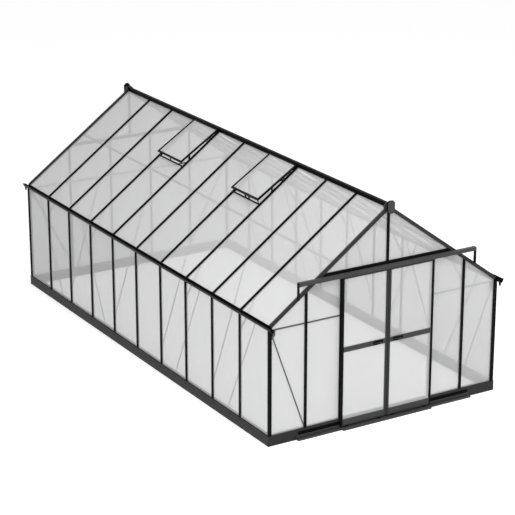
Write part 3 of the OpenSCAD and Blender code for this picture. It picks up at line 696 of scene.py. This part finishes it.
@operator
class GREENHOUSE_OT_side_posts(bpy.types.Operator):
    """Posts of the side walls as capped glazing bars"""

    bl_idname = "greenhouse.side_posts"
    bl_label = "Side posts"

    def execute(self, context):
        boxes = solid_boxes("posts_left")
        low, high = boxes[0]
        outline = glazing_bar(high[1] - low[1], high[0] - low[0], bars().wall_seat)
        origins = np.stack([boxes[:, 0, 0], boxes[:, :, 1].mean(1), boxes[:, 0, 2]], 1)
        put_pair("side_posts", squared(outline, origins, Y, (-1, 0, 0), Z, low, high), "posts")
        return {"FINISHED"}


@operator
class GREENHOUSE_OT_roof_bars(bpy.types.Operator):
    """Sloping glazing bars of both roof slopes"""

    bl_idname = "greenhouse.roof_bars"
    bl_label = "Roof bars"

    def execute(self, context):
        lines = Lines()
        boxes = solid_boxes("roof_bars_left")
        first = solid_points("roof_bars_left")[0]
        outline = glazing_bar(np.ptp(boxes[0, :, 1]), np.ptp(lines.rise(first)), bars().wall_seat)
        origins = [lines.slope_point(0, y, bars().out) for y in boxes[:, :, 1].mean(1)]
        left = prisms(outline, origins, Y, lines.normal, lines.slope, lines.foot(first), lines.ridge_side)
        put_pair("sloping_bars", left, "roof_bars")
        return {"FINISHED"}


@operator
class GREENHOUSE_OT_purlins(bpy.types.Operator):
    """Purlins as T sections, their flanges against the roof bars"""

    bl_idname = "greenhouse.purlins"
    bl_label = "Purlins"

    def execute(self, context):
        lines = Lines()
        points = np.concatenate(solid_points("purlins"))
        points = points[points[:, 0] < 0]
        climb, rise = lines.climb(points), lines.rise(points)
        flange, thick = bars().purlin_flange / 2, bars().purlin_sheet
        tee = mirrored([(flange, 0), (flange, 0.5 * MM - thick), (flange - 0.5 * MM, -thick),
                        (1.5 * MM, -thick), (1.5 * MM, -np.ptp(rise))])
        tee += ((climb.min() + climb.max()) / 2, rise.max())
        left = squared(tee, lines.eave, lines.slope, lines.normal, Y, points.min(0), points.max(0))
        put("purlin_tees", joined(left, flipped_x(left)), ["purlins"])
        return {"FINISHED"}


@operator
class GREENHOUSE_OT_rafters(bpy.types.Operator):
    """Gable rafters: a capped face with a groove under the cap"""

    bl_idname = "greenhouse.rafters"
    bl_label = "Gable rafters"

    def execute(self, context):
        lines = Lines()
        lefts = [points for points in solid_points("gable_rafters") if points[:, 0].max() < 0]
        left = joined(*(self.rafter(lines, points) for points in lefts))
        rafters = put("capped_rafters", joined(left, flipped_x(left)), ["gable_rafters"])
        # painted sheen: the rafters' upward faces take the lighter rail grey, for the sky's light on their
        # tops
        paint(rafters, "rail coat", lambda centre, normal: normal[:, 2] > 0.7)
        # painted reflection: the rafters' front and back faces take the mid stile grey, for what those faces
        # reflect
        paint(rafters, "stile coat", lambda centre, normal: np.abs(normal[:, 1]) > 0.9)
        return {"FINISHED"}

    def rafter(self, lines, points):
        """One left rafter, u = 0 on its outer face and u rising towards the house's middle."""
        into = 1 if points[0, 1] < 0 else -1
        face, back = np.sort(np.unique(points[:, 1]))[[0, -1]][::into]
        deep = abs(back - face)
        low, top = lines.rise(points).min(), lines.rise(points).max()
        outline = [
            (0, top - 2 * MM), (1.5 * MM, top), (deep - 2 * MM, top), (deep, top - 2 * MM),
            (deep, low + 2 * MM), (deep - 2 * MM, low), (2.5 * MM, low), (1 * MM, low + 2 * MM),
            (1 * MM, top - 12 * MM), (3.5 * MM, top - 11 * MM), (3.5 * MM, top - 9 * MM), (0, top - 8 * MM),
        ]
        return prisms(outline, lines.slope_point(0, face), (0, into, 0), lines.normal, lines.slope,
                      lines.foot(points), lines.ridge_side)


@operator
class GREENHOUSE_OT_gable_bars(bpy.types.Operator):
    """Upright glazing bars and corner posts of both gables"""

    bl_idname = "greenhouse.gable_bars"
    bl_label = "Gable bars"

    def execute(self, context):
        lines = Lines()
        for node, outward in (("gable_posts_front", -1), ("gable_posts_back", 1)):
            uprights = [self.upright(lines, low, high, outward) for low, high in solid_boxes(node)]
            put(node.replace("posts", "uprights"), joined(*uprights), [node])
        corners = [self.corner(low, high) for low, high in solid_boxes("corner_posts")]
        put("corner_uprights", joined(*corners), ["corner_posts"])
        return {"FINISHED"}

    def upright(self, lines, low, high, outward):
        """One gable bar: cut to the slope at its top, or level under the header and the ridge."""
        outline = glazing_bar(high[0] - low[0], high[1] - low[1], bars().gable_seat)
        middle = (low[0] + high[0]) / 2
        face = low[1] if outward < 0 else high[1]
        head = (high, Z)
        if abs(middle) > high[0] - low[0] and high[2] not in solid_boxes("door_header")[:, 0, 2]:
            side = np.sign(middle)
            head = (low if side > 0 else high) * (1, 0, 0) + (0, 0, high[2])
            head = (head, (side * lines.slope[2], 0, lines.slope[0]))
        return prisms(outline, (middle, face, low[2]), X, (0, outward, 0), Z, (low, Z), head)

    def corner(self, low, high):
        """One corner post, (0, 0) on its outer corner: a grooved face and a rebate for the side sheet."""
        wide, deep = high[0] - low[0], high[1] - low[1]
        outline = rounded([
            (0, 0), (wide * 0.42, 0), (wide * 0.42, 1.5 * MM), (wide * 0.52, 1.5 * MM), (wide * 0.52, 0),
            (wide, 0), (wide, deep), (wide * 0.3, deep), (wide * 0.3, deep * 0.85), (0, deep * 0.85)],
            1.2 * MM)
        x = low[0] if low[0] < 0 else high[0]
        y = low[1] if low[1] < 0 else high[1]
        return squared(outline, (x, y, low[2]), (-np.sign(x), 0, 0), (0, -np.sign(y), 0), Z, low, high)


@operator
class GREENHOUSE_OT_ridge(bpy.types.Operator):
    """Ridge beam with its cap and recess, the eight-sided end plates and the collars behind them"""

    bl_idname = "greenhouse.ridge"
    bl_label = "Ridge"

    def execute(self, context):
        low, high = node_box("ridge_beam")
        half, web = high[0], Lines().ridge_x
        foot, cap, top = np.unique(solid_points("ridge_beam")[0][:, 2])
        drip = cap + 4 * MM
        outline = mirrored([
            (4 * MM, top - 1.5 * MM), (5.5 * MM, top), (half - 3 * MM, top), (half, top - 3 * MM),
            (half, cap), (half - 2.5 * MM, cap), (half - 2.5 * MM, drip), (web, drip),
            (web, foot + 1.5 * MM), (web - 1.5 * MM, foot),
        ])
        put("ridge_cap", squared(outline, (0, 0, 0), X, Z, Y, low, high), ["ridge_beam"], "fitting coat")
        # a plate's corners have three depths, a collar's two
        ends = solid_points("ridge_ends")
        plates = [points for points in ends if len(np.unique(points[:, 1])) > 2]
        collars = [points for points in ends if len(np.unique(points[:, 1])) == 2]
        caps = put("ridge_end_caps", joined(*map(self.end_cap, plates)), ["ridge_ends"], "fitting coat")
        # painted light and shade: faces within 10 mm of each plate's outer face (its face, bevel and screw
        # heads) take the lighter rail grey as painted sheen, while the plate's sides stay near black as
        # painted shade
        plate_y = plates[-1][:, 1].max() - 10 * MM
        paint(caps, "rail coat", lambda centre, normal: np.abs(centre[:, 1]) > plate_y)
        put("ridge_collars", joined(*(self.collar(points, half, top) for points in collars)),
            look="rail coat")
        return {"FINISHED"}

    def end_cap(self, points):
        """Rings of one octagon from the bevelled plate's face along its grooved neck, and two screw heads."""
        into = 1 if points[0, 1] < 0 else -1
        face, plate, neck = np.unique(points[:, 1])[::into]
        octagon = points[points[:, 1] == face][:, [0, 2]]
        middle = (octagon.min(0) + octagon.max(0)) / 2
        size = np.ptp(octagon, axis=0) / 2
        turn = np.arctan2(*(octagon - middle).T[::-1])
        octagon = octagon[turn.argsort()] - middle
        inset = size[0] - np.abs(points[points[:, 1] == neck][:, 0]).max()
        thick, deep = abs(plate - face), abs(neck - face)
        # inset of each ring from the octagon, and its depth behind the face
        steps = np.array([
            (10 * MM, 1.5 * MM), (9 * MM, 0.0), (3 * MM, 0.0), (0.0, 3 * MM), (0.0, thick - 1 * MM),
            (1 * MM, thick), (inset, thick), (inset, deep - 8 * MM), (inset + 3 * MM, deep - 7 * MM),
            (inset + 3 * MM, deep - 4 * MM), (inset, deep - 3 * MM), (inset, deep)])[:, None]
        rings = octagon * (1 - steps[..., :1] / size) + middle
        depths = np.broadcast_to(face + into * steps[..., 1], rings.shape[:2])
        shell = np.dstack([rings[..., 0], depths, rings[..., 1]]).reshape(-1, 3)
        places = [(0, face + into * 1.5 * MM, middle[1] + side * 0.55 * size[1]) for side in (-1, 1)]
        screws = turned([(4.5 * MM, 0), (4.5 * MM, 1.2 * MM), (2.5 * MM, 2.2 * MM)], places, (0, -into, 0), 8)
        return joined((shell, ring_faces(len(rings), len(octagon))), screws)

    def collar(self, points, half, top):
        """Collar astride the beam's cap and the rafters, with a step round its upper edge."""
        front, back = points[:, 1].min(), points[:, 1].max()
        edge_x, crown = points[:, 0].max(), points[:, 2].max()
        sides = points[points[:, 0] > edge_x - 0.1 * MM][:, 2]
        seat = points[np.abs(points[:, 0] - half) < 0.1 * MM][:, 2].min()
        shoulder = points[points[:, 2] > crown - 0.1 * MM][:, 0].max()
        step, rim = 3 * MM, 4 * MM
        slices = []
        for y0, y1, inset in ((front, front + rim, step), (front + rim, back - rim, 0.0),
                              (back - rim, back, step)):
            outline = mirrored([
                (shoulder - inset / 2, crown - inset), (edge_x - inset, sides.max() - inset / 2),
                (edge_x - inset, sides.min()), (half, seat), (half, top)])
            slices.append(squared(outline, (0, 0, 0), X, Z, Y, (0, y0, 0), (0, y1, 0)))
        return joined(*slices)


@operator
class GREENHOUSE_OT_gutters(bpy.types.Operator):
    """Gutters: a thin folded section with a rolled lip, end caps, outlets and straps"""

    bl_idname = "greenhouse.gutters"
    bl_label = "Gutters"

    def execute(self, context):
        low, high = node_box("gutter_left")
        floor_z = node_box("posts_left")[1, 2]
        wide, tall = high[0] - low[0], high[2] - floor_z
        origin = np.array([high[0], low[1], floor_z])
        line = self.section(wide, tall)
        run = np.gradient(line, axis=0)
        run /= np.linalg.norm(run, axis=1)[:, None]
        inner = line + np.column_stack([-run[:, 1], run[:, 0]]) * bars().gutter_wall
        trough = squared(np.vstack([line, inner[::-1]]), origin, (-1, 0, 0), Z, Y, low, high)
        left = joined(trough, *self.outlets(floor_z), self.straps(high, wide))
        put_pair("rain_gutter", left, "gutter", slot="gutter")
        rim = np.vstack([line[:-2], [(wide, tall)]])
        middle = (rim.min(0) + rim.max(0)) / 2
        rim = middle + (rim - middle) * (1 + 3 * MM / np.ptp(rim, axis=0))
        thick = bars().gutter_cap
        caps = joined(*(squared(rim, origin, (-1, 0, 0), Z, Y, (0, y, 0), (0, y + thick, 0))
                        for y in (low[1] - 1 * MM, high[1] - thick + 1 * MM)))
        put("gutter_end_caps", joined(caps, flipped_x(caps)), look="fitting coat", slot="gutter")
        return {"FINISHED"}

    def section(self, wide, tall):
        """The section's outer line: down the back, along the floor, and out up to the lip."""
        floor_w = bars().gutter_floor
        flare = wide - floor_w
        return np.array([
            (0, tall - bars().gutter_back_drop), (0, 3 * MM), (1 * MM, 0.8 * MM), (3 * MM, 0),
            (floor_w - 6 * MM, 0), (floor_w - 1.5 * MM, 1.0 * MM), (floor_w + 2 * MM, 4 * MM),
            (floor_w + flare * 0.34, tall * 0.30), (floor_w + flare * 0.70, tall * 0.62),
            (wide - 1.2 * MM, tall * 0.86), (wide, tall - 1.5 * MM), (wide - 1.5 * MM, tall),
            (wide - 5 * MM, tall), (wide - 6 * MM, tall - 3 * MM)])

    def outlets(self, floor_z):
        """A flanged tube turned round each stub under the gutter's floor."""
        points = solid_points("gutter_left")[0]
        stubs = points[points[:, 2] < floor_z - 1 * MM]
        for stub in (stubs[stubs[:, 1] < 0], stubs[stubs[:, 1] > 0]):
            middle = (stub.min(0) + stub.max(0)) / 2
            radius, deep = np.ptp(stub[:, 0]) / 2, floor_z - stub[:, 2].min()
            bore, flange = radius * 0.7, radius * 1.25
            yield turned([(bore, -deep), (radius, -deep), (radius, -deep * 0.25), (flange, -deep * 0.2),
                          (flange, 0), (bore, 0.5 * MM), (bore, -deep + 1 * MM), (bore, -deep)],
                         [(middle[0], middle[1], floor_z)], Z, 20)

    def straps(self, high, wide):
        """Straps over the gutter at every second post."""
        posts_y = solid_boxes("posts_left")[::2, :, 1].mean(1)
        places = np.array([(high[0], y, high[2] - 9 * MM) for y in posts_y])
        half = np.array([0, 8 * MM, 0])
        outline = [(1 * MM, -1 * MM), (wide - 4 * MM, 1.5 * MM), (wide - 4 * MM, 3 * MM), (1 * MM, 0.8 * MM)]
        return squared(outline, places, (-1, 0, 0), Z, Y, places - half, places + half)


@operator
class GREENHOUSE_OT_base(bpy.types.Operator):
    """Base rails as folded channels with end plates"""

    bl_idname = "greenhouse.base"
    bl_label = "Base"

    def execute(self, context):
        low, high = solid_boxes("base_sides")[0]
        thick, lip = bars().base_fold, bars().base_lip
        wide, tall = high[0] - low[0], high[2] - low[2]
        channel = rounded([
            (0, 0), (wide, 0), (wide, lip), (wide - thick, lip), (wide - thick, thick), (thick, thick),
            (thick, tall - thick), (wide - thick, tall - thick), (wide - thick, tall - lip),
            (wide, tall - lip), (wide, tall), (0, tall)], 1.2 * MM)
        left = squared(channel, (low[0], 0, low[2]), X, Z, Y, low, high)
        put("base_channels_sides", joined(left, flipped_x(left)), ["base_sides"], "steel coat", "base_steel")
        plate = rounded(rectangle(0, wide, 0, tall), 2 * MM)
        for end, inward in (("front", 1), ("back", -1)):
            low, high = node_box("base_" + end)
            origin = (0, (low if inward > 0 else high)[1], low[2])
            parts = [squared(channel, origin, (0, inward, 0), Z, X, low, high)]
            for x in (low[0] + 0.1 * MM, high[0] - thick - 0.1 * MM):
                parts.append(squared(plate, origin, (0, inward, 0), Z, X, (x, 0, 0), (x + thick, 0, 0)))
            put("base_channel_" + end, joined(*parts), ["base_" + end], "steel coat", "base_steel")
        return {"FINISHED"}


@operator
class GREENHOUSE_OT_shade_strip(bpy.types.Operator):
    """Dark strip on the base's front, over the bottom track: painted shade, a thin near-black sheet for the
    shade in the groove between the base and the track
    """

    bl_idname = "greenhouse.seal"
    bl_label = "Track seal"

    def execute(self, context):
        low, high = node_box("bottom_track")
        # painted shade: the strip's near black stands for the shade in the groove over the bottom track
        tall, thick, end = bars().shade_strip_tall, bars().shade_strip_thick, np.array([20 * MM, 0, 0])
        outline = [(0, 0), (thick, 0), (thick, tall - 2 * MM), (0, tall)]
        origin = (0, node_box("base_front")[0, 1], high[2])
        put("track_seal", squared(outline, origin, (0, -1, 0), Z, X, low + end, high - end),
            look="fitting coat", slot="fitting")
        return {"FINISHED"}


def soften(node, width):
    """Merges a CAD node's loose corners and rounds its edges with modifiers."""
    piece = NODES[node]
    weld = piece.modifiers.new("weld", "WELD")
    weld.merge_threshold = 0.01 * MM
    bevel = piece.modifiers.new("bevel", "BEVEL")
    bevel.width = width
    bevel.segments = 2
    bevel.limit_method = "ANGLE"
    bevel.angle_limit = math.radians(40)
    bevel.use_clamp_overlap = True


SOFTENED = ("eave_beams", "door_header", "gable_ties", "wall_braces", "gable_braces", "knee_braces",
            "vent_stiles", "vent_rails", "vent_sills", "vent_stays", "top_track", "track_brackets",
            "bottom_track", "door_sill")


@operator
class GREENHOUSE_OT_soften(bpy.types.Operator):
    """Rounds the edges of the plain flats, rails and tracks"""

    bl_idname = "greenhouse.soften"
    bl_label = "Soften edges"

    def execute(self, context):
        for node in SOFTENED:
            soften(node, 1.0 * MM)
        return {"FINISHED"}


# heights over which a door leaf's hangers and pulls stand
HANGERS_OVER, PULLS_OVER = 1.5, 0.5


@operator
class GREENHOUSE_OT_leaves(bpy.types.Operator):
    """Door leaves: grooved stiles and rails, hooked pulls, hangers, rollers and guide fins"""

    bl_idname = "greenhouse.leaves"
    bl_label = "Door leaves"

    def execute(self, context):
        for side in ("left", "right"):
            leaf, body = "leaf_" + side, "door_" + side
            stiles = [squared(self.rail_outline(high[0] - low[0], high[1] - low[1]),
                              ((low[0] + high[0]) / 2, low[1], 0), X, (0, -1, 0), Z, low, high)
                      for low, high in solid_boxes(leaf + "_stiles")]
            uprights = put(leaf + "_uprights", joined(*stiles), [leaf + "_stiles"], body=body)
            paint(uprights, "stile coat", lambda centre, normal: np.abs(centre[:, 0]) < 60 * MM)
            rails = [squared(self.rail_outline(high[2] - low[2], high[1] - low[1]),
                             (0, low[1], (low[2] + high[2]) / 2), Z, (0, -1, 0), X, low, high)
                     for low, high in solid_boxes(leaf + "_rails")]
            put(leaf + "_crossrails", joined(*rails), [leaf + "_rails"], "rail coat", body=body)
            gear = [self.fitting(low, high) for low, high in solid_boxes(leaf + "_fittings")]
            put(leaf + "_gear", joined(*gear), [leaf + "_fittings"], "fitting coat", "fitting", body)
        return {"FINISHED"}

    def rail_outline(self, wide, deep):
        """Flat rail, v = 0 on its front face: rounded corners and a fine step along each edge."""
        half = wide / 2
        step = min(4 * MM, half * 0.4)
        return mirrored([(half - step - 1 * MM, 0), (half - step, -0.8 * MM), (half - 1.5 * MM, -0.8 * MM),
                         (half, -2.3 * MM), (half, 1.5 * MM - deep), (half - 1.5 * MM, -deep)])

    def fitting(self, low, high):
        """Fittings are told by their height: hangers at the top, pulls halfway up, fins at the foot."""
        if low[2] > HANGERS_OVER:
            return self.hanger(low, high)
        if low[2] > PULLS_OVER:
            return self.pull(low, high)
        return self.fin(low, high)

    def pull(self, low, high):
        """Pull: a hooked rim on the rail, left open at its lower right, and a flat bow that joins its ends in
        front of it. The rim is partly the pull's edge and partly painted shade: its near black runs where the
        pull lies in shade, and it leaves out the lit lower edge.

        Both run along rounded boxes, middle + half size * sign(cos t) |cos t| ^ p and so with sin t:
        the bow with p = 0.35 in the level plane, the rim with p = 0.7 in the upright plane."""
        wide, tall = high[0] - low[0], high[2] - low[2]
        middle = (low + high) / 2
        strip = bars().pull_rim / 2
        cos, sin = self.rounded_turn(0, np.pi, 25, 0.35)
        bow_path = np.column_stack([
            middle[0] - (wide / 2 - 8 * MM) * cos, high[1] - (high[1] - low[1] - 3.5 * MM) * np.abs(sin),
            np.full_like(cos, high[2] - strip)])
        bow = carried(rounded(rectangle(-3 * MM, 3 * MM, -strip, strip), 2 * MM), bow_path, Z)
        # partly painted shade: the rim runs from a little below the right end, over the top and the left end,
        # to just past the bottom, where the pull's outline lies in shade
        cos, sin = self.rounded_turn(-0.1 * np.pi, 1.55 * np.pi, 36, 0.7)
        shaded_rim_path = np.column_stack([
            middle[0] + (wide / 2 - 6 * MM) * cos, np.full_like(cos, high[1]),
            middle[2] + (tall / 2 - strip) * sin])
        rim = carried(rounded(rectangle(-strip, strip, 0, 6 * MM), 1.5 * MM), shaded_rim_path, (0, -1, 0))
        return joined(bow, rim)

    def rounded_turn(self, start, end, count, power):
        """cos and sin from start to end, each raised to a power with its sign kept."""
        turn = np.linspace(start, end, count)
        return [np.sign(wave) * np.abs(wave) ** power for wave in (np.cos(turn), np.sin(turn))]

    def hanger(self, low, high):
        """Hanger plate, with a grooved roller on each side of it."""
        half = (high[0] - low[0]) / 2
        middle = (low + high) / 2
        radius = (high[1] - low[1]) / 2 - 2 * MM
        plate_half = np.array([0, 2 * MM, 0])
        plate = squared(rounded(rectangle(-half, half, low[2], high[2]), 3 * MM), (middle[0], 0, 0), X, Z, Y,
                        middle - plate_half, middle + plate_half)
        axle_z = high[2] - bars().hanger_over
        rollers = turned([(3 * MM, -6 * MM), (radius * 0.9, -6 * MM), (radius, -5 * MM), (radius, -2 * MM),
                          (radius * 0.8, 0), (radius, 2 * MM), (radius, 5 * MM), (radius * 0.9, 6 * MM),
                          (3 * MM, 6 * MM)],
                         [(middle[0], middle[1] + y, axle_z) for y in (-8.5 * MM, 8.5 * MM)], Y, 24)
        return joined(plate, rollers)

    def fin(self, low, high):
        """Guide fin: a plate with rounded corners."""
        half = (high[0] - low[0]) / 2
        outline = rounded(rectangle(-half, half, 0, high[2] - low[2]), 4 * MM, 5)
        return squared(outline, ((low[0] + high[0]) / 2, 0, low[2]), X, Z, Y, low, high)


def bolt_shape(places, outward, size):
    """Bolts: a thin washer and a hexagonal head with a worn top edge at each place, pointing outward."""
    washer = [(size * 0.95, 0), (size * 0.95, 0.9 * MM), (size * 0.6, 1.0 * MM)]
    head = [(size * 0.62, 0.8 * MM), (size * 0.62, 3.2 * MM), (size * 0.52, 4.0 * MM)]
    return joined(turned(washer, places, outward, 12), turned(head, places, outward, 6))


@operator
class GREENHOUSE_OT_bolts(bpy.types.Operator):
    """Bolts and screws where bars, rails, plates and braces meet"""

    bl_idname = "greenhouse.bolts"
    bl_label = "Bolts"

    def execute(self, context):
        put("base_bolts", joined(*self.foot_bolts()), look="bolt coat", slot="fitting")
        put("frame_bolts", joined(*self.tie_bolts(), *self.bracket_bolts()), look="bolt coat", slot="fitting")
        for side in ("left", "right"):
            put("leaf_%s_screws" % side, self.leaf_screws("leaf_" + side), look="bolt coat", slot="fitting",
                body="door_" + side)
        return {"FINISHED"}

    def foot_bolts(self):
        """A bolt through the base at the foot of each post, except under the door leaves."""
        low, high = solid_boxes("base_sides")[0]
        foot_z = high[2] - bars().bolt_drop
        left = np.array([(low[0], y, foot_z) for y in solid_boxes("posts_left")[:, :, 1].mean(1)])
        yield bolt_shape(left, (-1, 0, 0), bars().bolt)
        yield bolt_shape(left * (-1, 1, 1), X, bars().bolt)
        doorway, header = node_box("leaf_right_stiles")[1, 0], node_box("door_header")[0, 2]
        for end, outward, clear in (("front", -1, doorway), ("back", 1, 0)):
            face = node_box("base_" + end)[0 if outward < 0 else 1, 1]
            boxes = [box for box in solid_boxes("gable_posts_" + end) if box[0, 2] < header]
            middles = [box[:, 0].mean() for box in boxes if abs(box[:, 0].mean()) >= clear]
            yield bolt_shape([(x, face, foot_z) for x in middles], (0, outward, 0), bars().bolt)

    def tie_bolts(self):
        """Bolts near both ends of each tie: on the back of the front right one, on the front of the rest."""
        for low, high in solid_boxes("gable_ties"):
            outward = 1 if low[1] < 0 < low[0] else -1
            face, z = (high if outward > 0 else low)[1], (low[2] + high[2]) / 2
            ends = [(x, face, z) for x in (low[0] + 12 * MM, high[0] - 12 * MM)]
            yield bolt_shape(ends, (0, outward, 0), bars().bolt * 0.8)

    def bracket_bolts(self):
        """Two bolts on the outer face of each bracket at the top track's ends."""
        for outward, (low, high) in zip((-1, 1), solid_boxes("track_brackets")):
            face, y = (low if outward < 0 else high)[0], (low[1] + high[1]) / 2
            places = [(face, y, z) for z in (low[2] + 20 * MM, high[2] - 12 * MM)]
            yield bolt_shape(places, (outward, 0, 0), bars().bolt * 0.8)

    def leaf_screws(self, leaf):
        """Screws where rails meet stiles: one on a thin rail's middle, two on a tall rail."""
        stiles, rails = solid_boxes(leaf + "_stiles"), solid_boxes(leaf + "_rails")
        heights = []
        for low, high in rails[:, :, 2]:
            thin = high - low < 20 * MM
            heights += [(low + high) / 2] if thin else [low + 12 * MM, high - 12 * MM]
        places = [(x, stiles[0, 0, 1], z) for x in stiles[:, :, 0].mean(1) for z in heights]
        screw = [(3.2 * MM, -0.5 * MM), (3.2 * MM, 0.6 * MM), (1.8 * MM, 1.4 * MM)]
        return turned(screw, places, (0, -1, 0), 8)


# ---------------------------------------------------------------- stage


# place and size of each lamp; the powers are properties of the stage
LAMPS = {
    "key": ((5.5, -7.5, 6.5), 7.0),
    "fill": ((-9.0, -4.0, 6.0), 8.0),
    "top": ((-1.5, -5.5, 9.5), 8.0),
}


@operator
class GREENHOUSE_OT_stage(bpy.types.Operator):
    """Makes the pale floor, the soft lamps, the world and the camera"""

    bl_idname = "greenhouse.stage"
    bl_label = "Stage"

    def execute(self, context):
        scene = context.scene
        half = stage().floor_size / 2
        mesh = bpy.data.meshes.new("floor")
        mesh.from_pydata([(x, y, 0) for x, y in rectangle(-half, half, -half, half)], [], [(0, 1, 2, 3)])
        mesh.materials.append(self.floor_material())
        floor = bpy.data.objects.new("floor", mesh)
        scene.collection.objects.link(floor)
        for name, (place, size) in LAMPS.items():
            self.lamp(name, place, size, getattr(stage(), name + "_power"))
        self.world(scene)
        self.camera(scene)
        scene.view_settings.view_transform = "Standard"
        return {"FINISHED"}

    def seen_directly(self, tree):
        """1 for rays from the camera, and for those that glass or a glossy coat sends on."""
        path = tree.nodes.new("ShaderNodeLightPath")
        seen = path.outputs["Is Camera Ray"]
        for ray in ("Is Transmission Ray", "Is Glossy Ray"):
            either = add(tree, "ShaderNodeMath", operation="MAXIMUM")
            tree.links.new(seen, either.inputs[0])
            tree.links.new(path.outputs[ray], either.inputs[1])
            seen = either.outputs[0]
        return seen

    def floor_material(self):
        """Pale floor: diffuse for light and shadow, lifted to white where the camera or glass sees it."""
        material, tree, out = new_material("floor")
        link = tree.links.new
        diffuse = add(tree, "ShaderNodeBsdfDiffuse", Color=colours().floor_tint)
        glow = add(tree, "ShaderNodeEmission", Color=(1, 1, 1, 1))
        level = add(tree, "ShaderNodeMath", operation="MULTIPLY")
        level.inputs[1].default_value = stage().floor_glow
        link(self.seen_directly(tree), level.inputs[0])
        link(level.outputs[0], glow.inputs["Strength"])
        both = tree.nodes.new("ShaderNodeAddShader")
        link(diffuse.outputs[0], both.inputs[0])
        link(glow.outputs[0], both.inputs[1])
        link(both.outputs[0], out.inputs["Surface"])
        return material

    def world(self, scene):
        """White where it is seen, and softer as a light."""
        scene.world = bpy.data.worlds.new("studio")
        scene.world.use_nodes = True
        tree = scene.world.node_tree
        tree.nodes.clear()
        out = tree.nodes.new("ShaderNodeOutputWorld")
        soft = add(tree, "ShaderNodeBackground", Color=(1, 1, 1, 1), Strength=stage().world_light)
        seen = add(tree, "ShaderNodeBackground", Color=(1, 1, 1, 1), Strength=1.0)
        mix = tree.nodes.new("ShaderNodeMixShader")
        tree.links.new(self.seen_directly(tree), mix.inputs["Fac"])
        tree.links.new(soft.outputs[0], mix.inputs[1])
        tree.links.new(seen.outputs[0], mix.inputs[2])
        tree.links.new(mix.outputs[0], out.inputs["Surface"])

    def lamp(self, name, place, size, power):
        """A square area lamp that looks at a point one metre over the middle of the house."""
        light = bpy.data.lights.new(name, "AREA")
        light.size = size
        light.energy = power
        lamp = bpy.data.objects.new(name, light)
        bpy.context.scene.collection.objects.link(lamp)
        lamp.location = place
        lamp.visible_camera = False
        lamp.rotation_mode = "QUATERNION"
        lamp.rotation_quaternion = (Vector(Z) - Vector(place)).to_track_quat("-Z", "Y")

    def camera(self, scene):
        """A long lens that looks down on the near corner."""
        data = bpy.data.cameras.new("camera")
        camera = bpy.data.objects.new("camera", data)
        scene.collection.objects.link(camera)
        scene.camera = camera
        data.sensor_width = 36.0
        data.lens = stage().lens
        data.clip_end = 300.0
        gable_y = node_box("gable_sheets_front")[:, 1].mean()
        camera.location = Vector(stage().camera_place) + Vector((0, gable_y, 0))
        camera.rotation_mode = "QUATERNION"
        camera.rotation_quaternion = Vector(stage().camera_aim).to_track_quat("-Z", "Y")


class GREENHOUSE_PT_panel(bpy.types.Panel):
    """Lists the greenhouse's sizes, colours and steps"""

    bl_idname = "GREENHOUSE_PT_panel"
    bl_label = "Greenhouse"
    bl_space_type = "VIEW_3D"
    bl_region_type = "UI"
    bl_category = "Greenhouse"

    def draw(self, context):
        for group in (colours(), sheets(), bars(), stage()):
            for name in group.__annotations__:
                self.layout.prop(group, name)
        for step in STEPS:
            self.layout.operator("greenhouse." + step)


STEPS = ["dress", "side_posts", "roof_bars", "purlins", "rafters", "gable_bars", "ridge", "gutters", "base",
         "seal", "soften", "leaves", "bolts", "stage"]


def register():
    for cls in CLASSES + [GREENHOUSE_PT_panel]:
        bpy.utils.register_class(cls)
    bpy.types.Scene.greenhouse_colours = bpy.props.PointerProperty(type=GreenhouseColours)
    bpy.types.Scene.greenhouse_sheets = bpy.props.PointerProperty(type=GreenhouseSheets)
    bpy.types.Scene.greenhouse_bars = bpy.props.PointerProperty(type=GreenhouseBars)
    bpy.types.Scene.greenhouse_stage = bpy.props.PointerProperty(type=GreenhouseStage)


def unregister():
    del bpy.types.Scene.greenhouse_stage
    del bpy.types.Scene.greenhouse_bars
    del bpy.types.Scene.greenhouse_sheets
    del bpy.types.Scene.greenhouse_colours
    for cls in reversed(CLASSES + [GREENHOUSE_PT_panel]):
        bpy.utils.unregister_class(cls)


def main():
    register()
    for step in STEPS:
        if getattr(bpy.ops.greenhouse, step)() != {"FINISHED"}:
            raise RuntimeError("step " + step + " did not finish")


if __name__ == "__main__":
    main()
